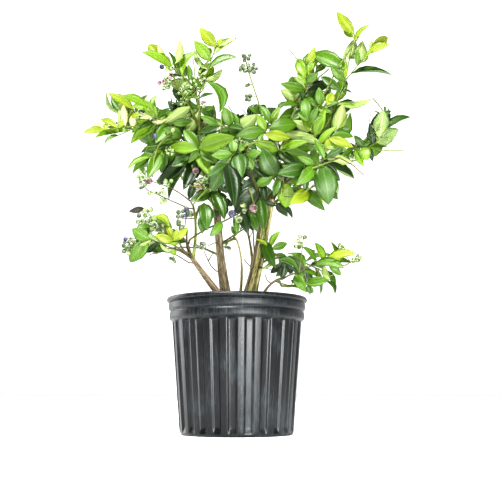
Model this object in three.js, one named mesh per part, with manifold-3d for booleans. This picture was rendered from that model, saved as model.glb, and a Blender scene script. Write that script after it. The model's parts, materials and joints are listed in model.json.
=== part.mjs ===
// A blueberry bush growing in a fluted nursery pot.
// Millimetres, +Z up, pot underside on z = 0, pot axis on x = y = 0, front towards -Y.
import * as THREE from "three";
import { mergeVertices } from "three/addons/utils/BufferGeometryUtils.js";
import Module from "manifold-3d";

const wasm = await Module();
wasm.setup();

// ---------------------------------------------------------------- driving dimensions

const GAP = 0.3; // clearance between neighbouring solids

const POT_HEIGHT = 250;
const LIP_RADIUS = 131;
const BASE_RADIUS = 104;
const WALL_TOP_RADIUS = 120.4;
const WALL_TOP_Z = 206;
const WALL_THICK = 2.0;
const FLOOR_THICK = 2.5;
const FLUTES = 24;
const FLUTE_DEPTH = 3.0;
const FLUTE_TURN = 4.2; // degrees from the front to the first ridge
const DRAIN_HOLES = 6;
const DRAIN_RADIUS = 6;
const DRAIN_CIRCLE = 78;

const SOIL_TOP = 222;
const SOIL_FLAT_RADIUS = 48;
const SOIL_SWELL = 3;
const SOIL_SIDES = 36;

const CANE_SIDES = 7;
const BOUGH_SIDES = 5;
const LIMB_STEPS = 4;
const FLARE_SHARE = 0.45; // extra thickness of a cane where it leaves the soil
const FLARE_HEIGHT = 42;

const STEM_THICK = 2.6;
const STEM_TIP = 1.3;
const SHOOT_SHARE = 0.45; // of the stem it leaves
const SHOOT_TIP = 0.55;
const STEM_STEPS = 4;
const LEAF_SPACING = 19;
const LEAF_WIDTH = 0.46; // of its length
const LEAF_FOLD = 0.2; // rise of the blade's edge over its half width
const LEAF_APART = 0.3; // least distance between two blades, over their length
const BERRY_RADIUS = 5.6;
const TURN = 2.39996; // golden angle between one leaf and the next
const SHOOT_SPLAY = 0.92;
const LEAF_SPLAY = 1.0;
const LEAF_ROLL = 1.3;
const LIGHT_REACH = 170;
const LIGHT_FRONT = 0.9;

const SPACE_MARGIN = 1.0;
const LIMB_MARGIN = 5.5;
const POT_MARGIN = 8;

// Every limb is one tapering curve: it starts in the soil ("at") or on an earlier limb
// ("on", at a share of its length), passes "by" half way and ends at "to".
const LIMBS = [
  { name: "cane_main", at: [-15, 0],
    by: [-30, 1, 319], to: [-40, 6, 428], thick: 8.9, thin: 7.0 },
  { name: "cane_left", at: [-7, -25],
    by: [-51, -31, 278], to: [-83, -36, 321], thick: 5.8, thin: 4.5 },
  { name: "cane_thin", at: [0, 19],
    by: [8, 24, 311], to: [-3, 22, 369], thick: 2.4, thin: 1.7 },
  { name: "cane_brown", at: [1, -4],
    by: [31, 10, 320], to: [48, 26, 452], thick: 4.4, thin: 3.2 },
  { name: "cane_olive", at: [12, -15],
    by: [39, -13, 326], to: [56, -24, 433], thick: 4.4, thin: 3.3 },
  { name: "cane_yellow", at: [25, 2],
    by: [50, 2, 346], to: [67, 2, 439], thick: 5.0, thin: 4.7 },
  { name: "cane_low", at: [31, -15],
    by: [58, -20, 269], to: [85, -28, 283], thick: 2.5, thin: 1.9 },
  { name: "cane_back_left", at: [-22, 24],
    by: [-33, 64, 336], to: [-39, 118, 454], thick: 5.2, thin: 3.6 },
  { name: "cane_back_right", at: [19, 22],
    by: [38, 64, 336], to: [57, 124, 456], thick: 5.0, thin: 3.6 },
  { name: "bough_left_leader", on: "cane_main", share: 0.97,
    by: [-67, 8, 509], to: [-74, 6, 615], thick: 5.0, thin: 2.6 },
  { name: "bough_inner", on: "cane_main", share: 1.0,
    by: [-26, 12, 481], to: [16, 16, 538], thick: 5.0, thin: 2.8 },
  { name: "bough_left_reach", on: "bough_left_leader", share: 0.42,
    by: [-95, -10, 542], to: [-124, -16, 584], thick: 2.8, thin: 1.9 },
  { name: "bough_left_rise", on: "cane_left", share: 0.97,
    by: [-76, -42, 369], to: [-81, -44, 417], thick: 2.9, thin: 1.9 },
  { name: "bough_right_leader", on: "cane_yellow", share: 1.0,
    by: [103, 0, 497], to: [164, 4, 572], thick: 4.2, thin: 2.4 },
  { name: "bough_right_reach", on: "bough_right_leader", share: 0.42,
    by: [157, 30, 519], to: [222, 42, 549], thick: 2.7, thin: 1.8 },
  { name: "bough_right_front", on: "cane_olive", share: 1.0,
    by: [85, -58, 456], to: [116, -92, 462], thick: 3.0, thin: 1.9 },
  { name: "bough_centre_front", on: "cane_olive", share: 0.88,
    by: [35, -58, 452], to: [22, -92, 477], thick: 2.5, thin: 1.7 },
  { name: "bough_upper_mid", on: "cane_brown", share: 1.0,
    by: [67, 30, 542], to: [103, 24, 617], thick: 3.0, thin: 2.0 },
  { name: "bough_back_left", on: "cane_back_left", share: 0.94,
    by: [-79, 125, 488], to: [-115, 132, 511], thick: 2.7, thin: 1.8 },
  { name: "bough_back_right", on: "cane_back_right", share: 0.94,
    by: [111, 132, 489], to: [166, 138, 516], thick: 2.7, thin: 1.8 },
  { name: "bough_back_top", on: "cane_back_right", share: 1.0,
    by: [41, 112, 537], to: [39, 100, 561], thick: 3.0, thin: 1.9 },
];

// Every foliage mass grows from one stem on a limb and keeps to its own reach round it.
const MASSES = [
  { name: "top_left", on: "bough_left_leader", share: 1,
    by: [-81, 14, 684], to: [-49, 5, 729], reach: 70,
    bare: 0.12, shoots: 4, shoot: 45, leaf: 69, lift: 0.49, fruit: 0, seed: 4034 },
  { name: "top_left_side", on: "bough_left_leader", share: 0.86,
    by: [-120, -22, 670], to: [-135, -22, 702], reach: 58,
    bare: 0.25, shoots: 5, shoot: 41, leaf: 70, lift: 0.5, fruit: 2, seed: 8330 },
  { name: "left_reach", on: "bough_left_reach", share: 1,
    by: [-152, -24, 567], to: [-245, -27, 565], reach: 64,
    bare: 0.05, shoots: 5, shoot: 29, leaf: 64, lift: 0.3, fruit: 0, seed: 3072 },
  { name: "left_mid", on: "bough_left_reach", share: 0.78,
    by: [-146, -45, 535], to: [-157, -54, 470], reach: 60,
    bare: 0.1, shoots: 5, shoot: 42, leaf: 69, lift: 0.1, fruit: 1, seed: 1456 },
  { name: "left_fruit", on: "bough_left_rise", share: 1,
    by: [-66, -45, 484], to: [-167, -58, 456], reach: 40,
    bare: 0.45, shoots: 4, shoot: 26, leaf: 51, lift: -0.37, fruit: 2, seed: 5858 },
  { name: "low_left", on: "cane_left", share: 1,
    by: [-111, -63, 322], to: [-155, -75, 340], reach: 54,
    bare: 0.35, shoots: 5, shoot: 31, leaf: 56, lift: 0.21, fruit: 1, seed: 3520 },
  { name: "low_left_upper", on: "bough_left_rise", share: 0.08,
    by: [-117, -34, 345], to: [-166, -19, 392], reach: 42,
    bare: 0.5, shoots: 5, shoot: 28, leaf: 70, lift: -0.38, fruit: 2, seed: 3223 },
  { name: "rise_side", on: "bough_left_rise", share: 0.72,
    by: [-66, -49, 421], to: [-52, -76, 384], reach: 44,
    bare: 0.2, shoots: 3, shoot: 25, leaf: 52, lift: -0.29, fruit: 0, seed: 1687 },
  { name: "centre_left", on: "bough_left_leader", share: 0.66,
    by: [-39, -46, 492], to: [-29, -52, 597], reach: 68,
    bare: 0.1, shoots: 5, shoot: 49, leaf: 66, lift: 0.16, fruit: 1, seed: 3449 },
  { name: "centre_hang", on: "bough_inner", share: 0.35,
    by: [-45, -50, 456], to: [-81, -59, 416], reach: 62,
    bare: 0.15, shoots: 2, shoot: 46, leaf: 57, lift: -0.5, fruit: 0, seed: 8705 },
  { name: "berry_arm", on: "cane_left", share: 0.9,
    by: [-61, -67, 416], to: [-4, -102, 385], reach: 32,
    bare: 0.62, shoots: 1, shoot: 14, leaf: 54, lift: 0.04, fruit: 2, seed: 7205 },
  { name: "fruit_spire", on: "bough_inner", share: 1,
    by: [31, 11, 627], to: [11, 12, 715], reach: 36,
    bare: 0.3, shoots: 3, shoot: 14, leaf: 37, lift: 0.4, fruit: 3, seed: 3884 },
  { name: "centre_right", on: "bough_inner", share: 0.8,
    by: [62, -14, 526], to: [113, -21, 618], reach: 68,
    bare: 0.1, shoots: 5, shoot: 53, leaf: 70, lift: 0.14, fruit: 0, seed: 7767 },
  { name: "centre_front", on: "bough_centre_front", share: 1,
    by: [6, -128, 501], to: [52, -147, 512], reach: 70,
    bare: 0.05, shoots: 4, shoot: 37, leaf: 70, lift: 0.12, fruit: 0, seed: 11 },
  { name: "trunk_leaves", on: "cane_olive", share: 0.74,
    by: [22, -50, 452], to: [55, -73, 341], reach: 52,
    bare: 0.2, shoots: 2, shoot: 31, leaf: 63, lift: -0.37, fruit: 0, seed: 2649 },
  { name: "upper_mid", on: "bough_upper_mid", share: 1,
    by: [121, 25, 656], to: [180, 14, 706], reach: 64,
    bare: 0.05, shoots: 4, shoot: 44, leaf: 69, lift: 0.5, fruit: 0, seed: 1465 },
  { name: "top_right", on: "bough_right_leader", share: 1,
    by: [168, 5, 648], to: [238, -14, 764], reach: 74,
    bare: 0.1, shoots: 3, shoot: 56, leaf: 70, lift: 0.3, fruit: 0, seed: 6068 },
  { name: "right_shoulder", on: "bough_right_leader", share: 0.72,
    by: [181, 45, 558], to: [183, 43, 666], reach: 60,
    bare: 0.1, shoots: 3, shoot: 52, leaf: 70, lift: 0.5, fruit: 0, seed: 3789 },
  { name: "right_reach", on: "bough_right_reach", share: 1,
    by: [254, 53, 573], to: [273, 46, 581], reach: 64,
    bare: 0.05, shoots: 4, shoot: 60, leaf: 56, lift: -0.03, fruit: 0, seed: 4519 },
  { name: "right_front", on: "bough_right_front", share: 1,
    by: [120, -110, 465], to: [186, -118, 489], reach: 70,
    bare: 0.05, shoots: 5, shoot: 39, leaf: 70, lift: 0.16, fruit: 0, seed: 4213 },
  { name: "right_hang", on: "bough_right_front", share: 0.5,
    by: [94, -86, 425], to: [166, -97, 457], reach: 60,
    bare: 0.15, shoots: 3, shoot: 32, leaf: 70, lift: -0.14, fruit: 0, seed: 7609 },
  { name: "low_right", on: "cane_low", share: 1,
    by: [114, -42, 314], to: [194, -59, 305], reach: 54,
    bare: 0.3, shoots: 3, shoot: 33, leaf: 69, lift: 0.28, fruit: 1, seed: 82 },
  { name: "low_right_under", on: "cane_low", share: 0.86,
    by: [100, -23, 269], to: [178, -32, 290], reach: 48,
    bare: 0.4, shoots: 2, shoot: 30, leaf: 45, lift: 0.18, fruit: 0, seed: 563 },
  { name: "low_right_inner", on: "cane_yellow", share: 0.36,
    by: [88, -30, 312], to: [41, -47, 350], reach: 40,
    bare: 0.4, shoots: 1, shoot: 14, leaf: 44, lift: 0.03, fruit: 0, seed: 866 },
  { name: "thin_top", on: "cane_thin", share: 1,
    by: [-31, 31, 359], to: [26, 32, 397], reach: 34,
    bare: 0.3, shoots: 2, shoot: 19, leaf: 35, lift: 0.11, fruit: 1, seed: 2842 },
  { name: "twin_left", on: "cane_brown", share: 0.4,
    by: [24, 49, 366], to: [-4, 31, 462], reach: 46,
    bare: 0.5, shoots: 5, shoot: 57, leaf: 61, lift: -0.26, fruit: 0, seed: 2413 },
  { name: "left_inner", on: "bough_left_leader", share: 0.78,
    by: [-132, 3, 577], to: [-74, -39, 646], reach: 60,
    bare: 0.1, shoots: 5, shoot: 26, leaf: 70, lift: 0.18, fruit: 0, seed: 5255 },
  { name: "back_left_top", on: "cane_back_left", share: 1,
    by: [-66, 178, 552], to: [-102, 133, 646], reach: 84,
    bare: 0.1, shoots: 4, shoot: 55, leaf: 69, lift: 0.18, fruit: 0, seed: 258 },
  { name: "back_left_out", on: "bough_back_left", share: 1,
    by: [-145, 133, 555], to: [-240, 109, 645], reach: 74,
    bare: 0.05, shoots: 5, shoot: 60, leaf: 70, lift: 0.09, fruit: 0, seed: 8429 },
  { name: "back_centre", on: "cane_back_right", share: 0.86,
    by: [27, 192, 503], to: [-22, 212, 552], reach: 80,
    bare: 0.15, shoots: 4, shoot: 48, leaf: 70, lift: -0.2, fruit: 0, seed: 7049 },
  { name: "back_right_top", on: "cane_back_right", share: 1,
    by: [112, 164, 558], to: [151, 167, 615], reach: 84,
    bare: 0.1, shoots: 2, shoot: 35, leaf: 70, lift: 0.18, fruit: 0, seed: 8661 },
  { name: "back_right_out", on: "bough_back_right", share: 1,
    by: [193, 152, 540], to: [265, 150, 563], reach: 70,
    bare: 0.05, shoots: 2, shoot: 27, leaf: 66, lift: 0.18, fruit: 0, seed: 6192 },
  { name: "back_crown", on: "bough_back_top", share: 1,
    by: [7, 96, 585], to: [81, 87, 644], reach: 58,
    bare: 0.05, shoots: 5, shoot: 39, leaf: 57, lift: 0.16, fruit: 0, seed: 6828 },
  { name: "back_shoulder", on: "bough_upper_mid", share: 0.6,
    by: [90, 88, 623], to: [187, 90, 635], reach: 64,
    bare: 0.1, shoots: 1, shoot: 44, leaf: 70, lift: 0.18, fruit: 0, seed: 4381 },
  { name: "low_back_left", on: "cane_back_left", share: 0.42,
    by: [-72, 113, 365], to: [-188, 107, 354], reach: 60,
    bare: 0.45, shoots: 2, shoot: 50, leaf: 68, lift: 0.18, fruit: 0, seed: 7959 },
  { name: "low_back_right", on: "cane_back_right", share: 0.42,
    by: [91, 90, 342], to: [168, 124, 320], reach: 60,
    bare: 0.45, shoots: 2, shoot: 21, leaf: 70, lift: -0.4, fruit: 0, seed: 4019 },
];

// ---------------------------------------------------------------- small vector helpers

const add = (a, b) => [a[0] + b[0], a[1] + b[1], a[2] + b[2]];
const sub = (a, b) => [a[0] - b[0], a[1] - b[1], a[2] - b[2]];
const mul = (a, k) => [a[0] * k, a[1] * k, a[2] * k];
const dot = (a, b) => a[0] * b[0] + a[1] * b[1] + a[2] * b[2];
const mix = (a, b, t) => add(mul(a, 1 - t), mul(b, t));
const size = (a) => Math.sqrt(dot(a, a));
const unit = (a) => mul(a, 1 / size(a));
const cross = (a, b) => [
  a[1] * b[2] - a[2] * b[1],
  a[2] * b[0] - a[0] * b[2],
  a[0] * b[1] - a[1] * b[0],
];
const away = (a, axis) => unit(sub(a, mul(axis, dot(a, axis))));

// Seeded chance, the same for every build.
function dice(seed) {
  let state = seed | 0;
  return () => {
    state = (state + 0x6d2b79f5) | 0;
    let t = Math.imul(state ^ (state >>> 15), 1 | state);
    t = (t + Math.imul(t ^ (t >>> 7), 61 | t)) ^ t;
    return ((t ^ (t >>> 14)) >>> 0) / 4294967296;
  };
}

// Closed three.js geometry as a solid that can be joined and cut.
function solidOf(geometry) {
  geometry.deleteAttribute("normal");
  geometry.deleteAttribute("uv");
  const merged = mergeVertices(geometry, 1e-4);
  const index = merged.getIndex().array;
  const corners = [];
  for (let i = 0; i < index.length; i += 3) {
    const [a, b, c] = index.slice(i, i + 3);
    if (a !== b && b !== c && c !== a) {
      corners.push(a, b, c);
    }
  }
  const mesh = new wasm.Mesh({
    numProp: 3,
    vertProperties: Float32Array.from(merged.getAttribute("position").array),
    triVerts: Uint32Array.from(corners),
  });
  return new wasm.Manifold(mesh);
}

function solid(points, faces) {
  const geometry = new THREE.BufferGeometry();
  const place = new THREE.Float32BufferAttribute(points.flat(), 3);
  geometry.setAttribute("position", place);
  geometry.setIndex(faces.flat());
  return solidOf(geometry);
}

function join(pieces) {
  return pieces.reduce((sum, piece) => sum.add(piece));
}

function largest(body) {
  const parts = body.decompose();
  parts.sort((a, b) => b.volume() - a.volume());
  return parts[0];
}

// ---------------------------------------------------------------- pot and soil

// Wall radius at a height, before flutes.
function wallRadius(z) {
  return BASE_RADIUS + ((WALL_TOP_RADIUS - BASE_RADIUS) * z) / WALL_TOP_Z;
}

// Profile rows: radius, height, share of the full flute depth.
function potProfile() {
  const inner = (z) => wallRadius(z) - WALL_THICK;
  return [
    [0, 0, 0],
    [BASE_RADIUS - 4, 0, 0],
    [BASE_RADIUS, 3.5, 0],
    [wallRadius(14), 14, 1],
    [wallRadius(197), 197, 1],
    [wallRadius(206), 206, 0],
    [125.0, 210, 0],
    [125.4, 221, 0],
    [123.6, 224.5, 0],
    [126.8, 227.5, 0],
    [127.3, 238.5, 0],
    [125.8, 240, 0],
    [LIP_RADIUS, 244, 0],
    [129.4, 249, 0],
    [126.0, POT_HEIGHT, 0],
    [121.0, 246, 0],
    [inner(206), 206, 0],
    [inner(197), 197, 1],
    [inner(14), 14, 1],
    [BASE_RADIUS - 6, FLOOR_THICK, 0],
    [0, FLOOR_THICK, 0],
  ];
}

// Depth of the hollow between two ridges, three samples to a flute.
const FLUTE_SHAPE = [0, 0, 1];
const POT_SIDES = FLUTES * FLUTE_SHAPE.length;

function potAngle(i) {
  const pitch = (2 * Math.PI) / FLUTES;
  const offsets = [-0.19, 0.19, 0.5];
  const flute = Math.floor(i / FLUTE_SHAPE.length);
  const turn = (FLUTE_TURN * Math.PI) / 180 - Math.PI / 2;
  return turn + pitch * (flute + offsets[i % FLUTE_SHAPE.length]);
}

// Turned body whose every point is moved by "shape", which gets its radius, step round
// the axis, height and profile row.
function turned(profile, sides, shape) {
  const outline = profile.map(([radius, z]) => new THREE.Vector2(radius, z));
  const lathe = new THREE.LatheGeometry(outline, sides);
  const place = lathe.getAttribute("position");
  for (let i = 0; i < place.count; i += 1) {
    const step = Math.floor(i / profile.length) % sides;
    const row = i % profile.length;
    const [x, y, z] = shape(profile[row][0], step, profile[row][1], row);
    place.setXYZ(i, x, y, z);
  }
  return solidOf(lathe);
}

function pot() {
  const rows = potProfile();
  let body = turned(rows, POT_SIDES, (radius, step, z, row) => {
    const dip = FLUTE_DEPTH * rows[row][2] * FLUTE_SHAPE[step % FLUTE_SHAPE.length];
    const r = Math.max(radius - dip, 0);
    return [r * Math.cos(potAngle(step)), r * Math.sin(potAngle(step)), z];
  });
  for (let k = 0; k < DRAIN_HOLES; k += 1) {
    const angle = (2 * Math.PI * (k + 0.5)) / DRAIN_HOLES;
    const hole = new THREE.CylinderGeometry(DRAIN_RADIUS, DRAIN_RADIUS, 20, 10);
    hole.rotateX(Math.PI / 2);
    hole.translate(DRAIN_CIRCLE * Math.cos(angle), DRAIN_CIRCLE * Math.sin(angle), 0);
    body = body.subtract(solidOf(hole));
  }
  return body;
}

// Potting soil filling the pot up to the planting level.
function soil() {
  const clear = FLUTE_DEPTH + WALL_THICK + 2 * GAP;
  const rng = dice(77);
  const bottom = FLOOR_THICK + GAP;
  const rings = [
    [0, bottom, 0],
    [BASE_RADIUS - 8 - clear / 2, bottom, 0],
    [wallRadius(16) - clear, 16, 0],
    [wallRadius(SOIL_TOP - 18) - clear, SOIL_TOP - 18, 0],
    [wallRadius(SOIL_TOP - 18) - clear - 1, SOIL_TOP - 1.5, 0.6],
    [SOIL_FLAT_RADIUS + 34, SOIL_TOP, 1],
    [SOIL_FLAT_RADIUS, SOIL_TOP, 0],
    [0, SOIL_TOP, 0],
  ];
  const bumps = rings.map(([, , swell]) =>
    Array.from({ length: SOIL_SIDES }, () => swell * SOIL_SWELL * (rng() - 0.5)),
  );
  return turned(rings, SOIL_SIDES, (radius, step, z, row) => {
    const angle = (2 * Math.PI * step) / SOIL_SIDES;
    return [radius * Math.cos(angle), radius * Math.sin(angle), z + bumps[row][step]];
  });
}

// ---------------------------------------------------------------- limbs

// Curve through "by" at its middle.
function curve(from, by, to, steps) {
  const pull = sub(mul(by, 2), mul(add(from, to), 0.5));
  const ends = [from, pull, to].map((point) => new THREE.Vector3(...point));
  return new THREE.QuadraticBezierCurve3(...ends).getPoints(steps).map((v) => v.toArray());
}

function along(line, share) {
  const place = Math.min(Math.max(share, 0), 1) * (line.length - 1);
  const i = Math.min(Math.floor(place), line.length - 2);
  return mix(line[i], line[i + 1], place - i);
}

function heading(line, share) {
  const place = Math.min(Math.max(share, 0), 1) * (line.length - 1);
  const i = Math.min(Math.floor(place), line.length - 2);
  return unit(sub(line[i + 1], line[i]));
}

// Round tapering body along a line; "flat" cuts the first ring level.
function sweep(line, radii, sides, flat) {
  const points = [];
  const faces = [];
  let side = [1, 0, 0];
  for (let k = 0; k < line.length; k += 1) {
    const back = line[Math.max(k - 1, 0)];
    const ahead = line[Math.min(k + 1, line.length - 1)];
    const level = flat && k === 0;
    const axis = level ? [0, 0, 1] : unit(sub(ahead, back));
    if (Math.abs(dot(side, axis)) > 0.95) {
      side = [0, 1, 0];
    }
    side = away(side, axis);
    const up = cross(axis, side);
    for (let i = 0; i < sides; i += 1) {
      const angle = (2 * Math.PI * i) / sides;
      const out = add(mul(side, Math.cos(angle)), mul(up, Math.sin(angle)));
      points.push(add(line[k], mul(out, radii[k])));
    }
  }
  for (let k = 0; k < line.length - 1; k += 1) {
    for (let i = 0; i < sides; i += 1) {
      const a = k * sides + i;
      const b = k * sides + ((i + 1) % sides);
      faces.push([a, b, b + sides]);
      faces.push([a, b + sides, a + sides]);
    }
  }
  const top = (line.length - 1) * sides;
  for (let i = 1; i < sides - 1; i += 1) {
    faces.push([0, i + 1, i]);
    faces.push([top, top + i, top + i + 1]);
  }
  return solid(points, faces);
}

function limbLine(row, earlier) {
  const soilStart = row.at ? [row.at[0], row.at[1], SOIL_TOP + GAP] : null;
  const from = soilStart ?? along(earlier[row.on].line, row.share);
  return curve(from, row.by, row.to, LIMB_STEPS);
}

function limbRadii(row, line) {
  return line.map((point, i) => {
    const plain = row.thick + ((row.thin - row.thick) * i) / (line.length - 1);
    const rise = point[2] - SOIL_TOP;
    const flare = row.at ? FLARE_SHARE * Math.exp(-rise / FLARE_HEIGHT) : 0;
    return plain * (1 + flare);
  });
}

function growLimbs() {
  const limbs = {};
  for (const row of LIMBS) {
    const line = limbLine(row, limbs);
    const radii = limbRadii(row, line);
    const sides = row.at ? CANE_SIDES : BOUGH_SIDES;
    const flat = Boolean(row.at);
    let body = sweep(line, radii, sides, flat);
    for (const other of Object.values(limbs)) {
      body = body.subtract(other.room);
    }
    const wide = radii.map((radius) => radius + GAP + 0.08);
    const room = sweep(line, wide, sides, flat);
    limbs[row.name] = { line, radii, room, body: largest(body) };
  }
  return limbs;
}

// ---------------------------------------------------------------- room for foliage

function distanceToPiece(point, a, b) {
  const run = sub(b, a);
  const t = Math.min(Math.max(dot(sub(point, a), run) / dot(run, run), 0), 1);
  return [size(sub(point, mix(a, b, t))), t];
}

function distanceToLine(point, line) {
  let best = 1e9;
  for (let i = 0; i < line.length - 1; i += 1) {
    best = Math.min(best, distanceToPiece(point, line[i], line[i + 1])[0]);
  }
  return best;
}

function clearOfLimbs(point, limbs, margin) {
  for (const { line, radii } of Object.values(limbs)) {
    for (let i = 0; i < line.length - 1; i += 1) {
      const [gap, t] = distanceToPiece(point, line[i], line[i + 1]);
      if (gap < radii[i] + (radii[i + 1] - radii[i]) * t + margin) {
        return false;
      }
    }
  }
  return true;
}

function clearOfPot(point) {
  const out = Math.hypot(point[0], point[1]);
  return point[2] > POT_HEIGHT + POT_MARGIN || out > LIP_RADIUS + POT_MARGIN;
}

// A place belongs to the mass whose stem is nearest, measured in that mass's reach.
function insideSpace(point, own, plans) {
  const gap = distanceToLine(point, own.line);
  if (gap > own.reach) {
    return false;
  }
  const share = (gap + SPACE_MARGIN) / own.reach;
  for (const other of plans) {
    if (other !== own) {
      const theirs = distanceToLine(point, other.line) - SPACE_MARGIN;
      if (theirs / other.reach < share) {
        return false;
      }
    }
  }
  return true;
}

// ---------------------------------------------------------------- leaves, berries, twigs

// Six corners of a pointed oval blade, from its root to its tip.
function leafPoints(root, way, face, length) {
  const half = (length * LEAF_WIDTH) / 2;
  const side = cross(way, face);
  const corner = (share, width) => {
    const out = mul(side, half * width);
    const lift = mul(face, half * Math.abs(width) * LEAF_FOLD);
    return add(add(root, mul(way, length * share)), add(out, lift));
  };
  return [
    root,
    corner(0.32, -1),
    corner(0.7, -0.8),
    add(root, mul(way, length)),
    corner(0.7, 0.8),
    corner(0.32, 1),
  ];
}

function leafSolid(points) {
  const faces = [
    [0, 5, 1],
    [1, 5, 4],
    [1, 4, 2],
    [2, 4, 3],
    [0, 1, 3],
    [1, 2, 3],
    [0, 3, 5],
    [3, 4, 5],
  ];
  return solid(points, faces);
}

function leafSamples(points) {
  const [root, a, b, tip, c, d] = points;
  return [a, b, tip, c, d, mix(root, tip, 0.5), mix(a, b, 0.5), mix(c, d, 0.5),
    mix(root, tip, 0.3), mix(root, tip, 0.75)];
}

// Whether the piece a-b passes through the triangle.
function pierces(a, b, [p, q, r]) {
  const run = sub(b, a);
  const edge1 = sub(q, p);
  const edge2 = sub(r, p);
  const h = cross(run, edge2);
  const det = dot(edge1, h);
  if (Math.abs(det) < 1e-9) {
    return false;
  }
  const s = sub(a, p);
  const u = dot(s, h) / det;
  if (u < 0 || u > 1) {
    return false;
  }
  const q2 = cross(s, edge1);
  const v = dot(run, q2) / det;
  const t = dot(edge2, q2) / det;
  return v >= 0 && u + v <= 1 && t >= 0 && t <= 1;
}

// The blade as two flat quarters each side of its midrib, with its edges and midrib.
function bladeTriangles([root, a, b, tip, c, d]) {
  return [[root, a, tip], [a, b, tip], [root, tip, d], [tip, c, d]];
}

function bladeEdges([root, a, b, tip, c, d]) {
  return [[root, a], [a, b], [b, tip], [tip, c], [c, d], [d, root], [root, tip]];
}

function bladesCross(one, two) {
  const hit = (edges, triangles) =>
    edges.some(([a, b]) => triangles.some((triangle) => pierces(a, b, triangle)));
  return hit(bladeEdges(one), bladeTriangles(two)) || hit(bladeEdges(two), bladeTriangles(one));
}

function lineCrossesBlade(line, points) {
  const triangles = bladeTriangles(points);
  for (let i = 0; i < line.length - 1; i += 1) {
    if (triangles.some((triangle) => pierces(line[i], line[i + 1], triangle))) {
      return true;
    }
  }
  return false;
}

function berrySolid(centre, radius) {
  const shape = new THREE.IcosahedronGeometry(radius, 0);
  shape.translate(...centre);
  return solidOf(shape);
}

// ---------------------------------------------------------------- growth of one mass

function frameOn(axis) {
  const level = Math.abs(axis[2]) < 0.9 ? [0, 0, 1] : [1, 0, 0];
  const side = away(level, axis);
  return [side, cross(axis, side)];
}

function leafWay(axis, angle, splay, lift) {
  const [side, up] = frameOn(axis);
  const out = add(mul(side, Math.cos(angle)), mul(up, Math.sin(angle)));
  const way = add(mul(axis, Math.cos(splay)), mul(out, Math.sin(splay)));
  return unit(add(way, [0, 0, lift]));
}

// Blades turn their faces up and outwards from the middle of the bush.
function leafFace(root, way, roll) {
  const light = unit([root[0] / LIGHT_REACH, root[1] / LIGHT_REACH - LIGHT_FRONT, 0.8]);
  const face = Math.abs(dot(light, way)) < 0.97 ? away(light, way) : away([0, -1, 0], way);
  const side = cross(way, face);
  return add(mul(face, Math.cos(roll)), mul(side, Math.sin(roll)));
}

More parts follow.
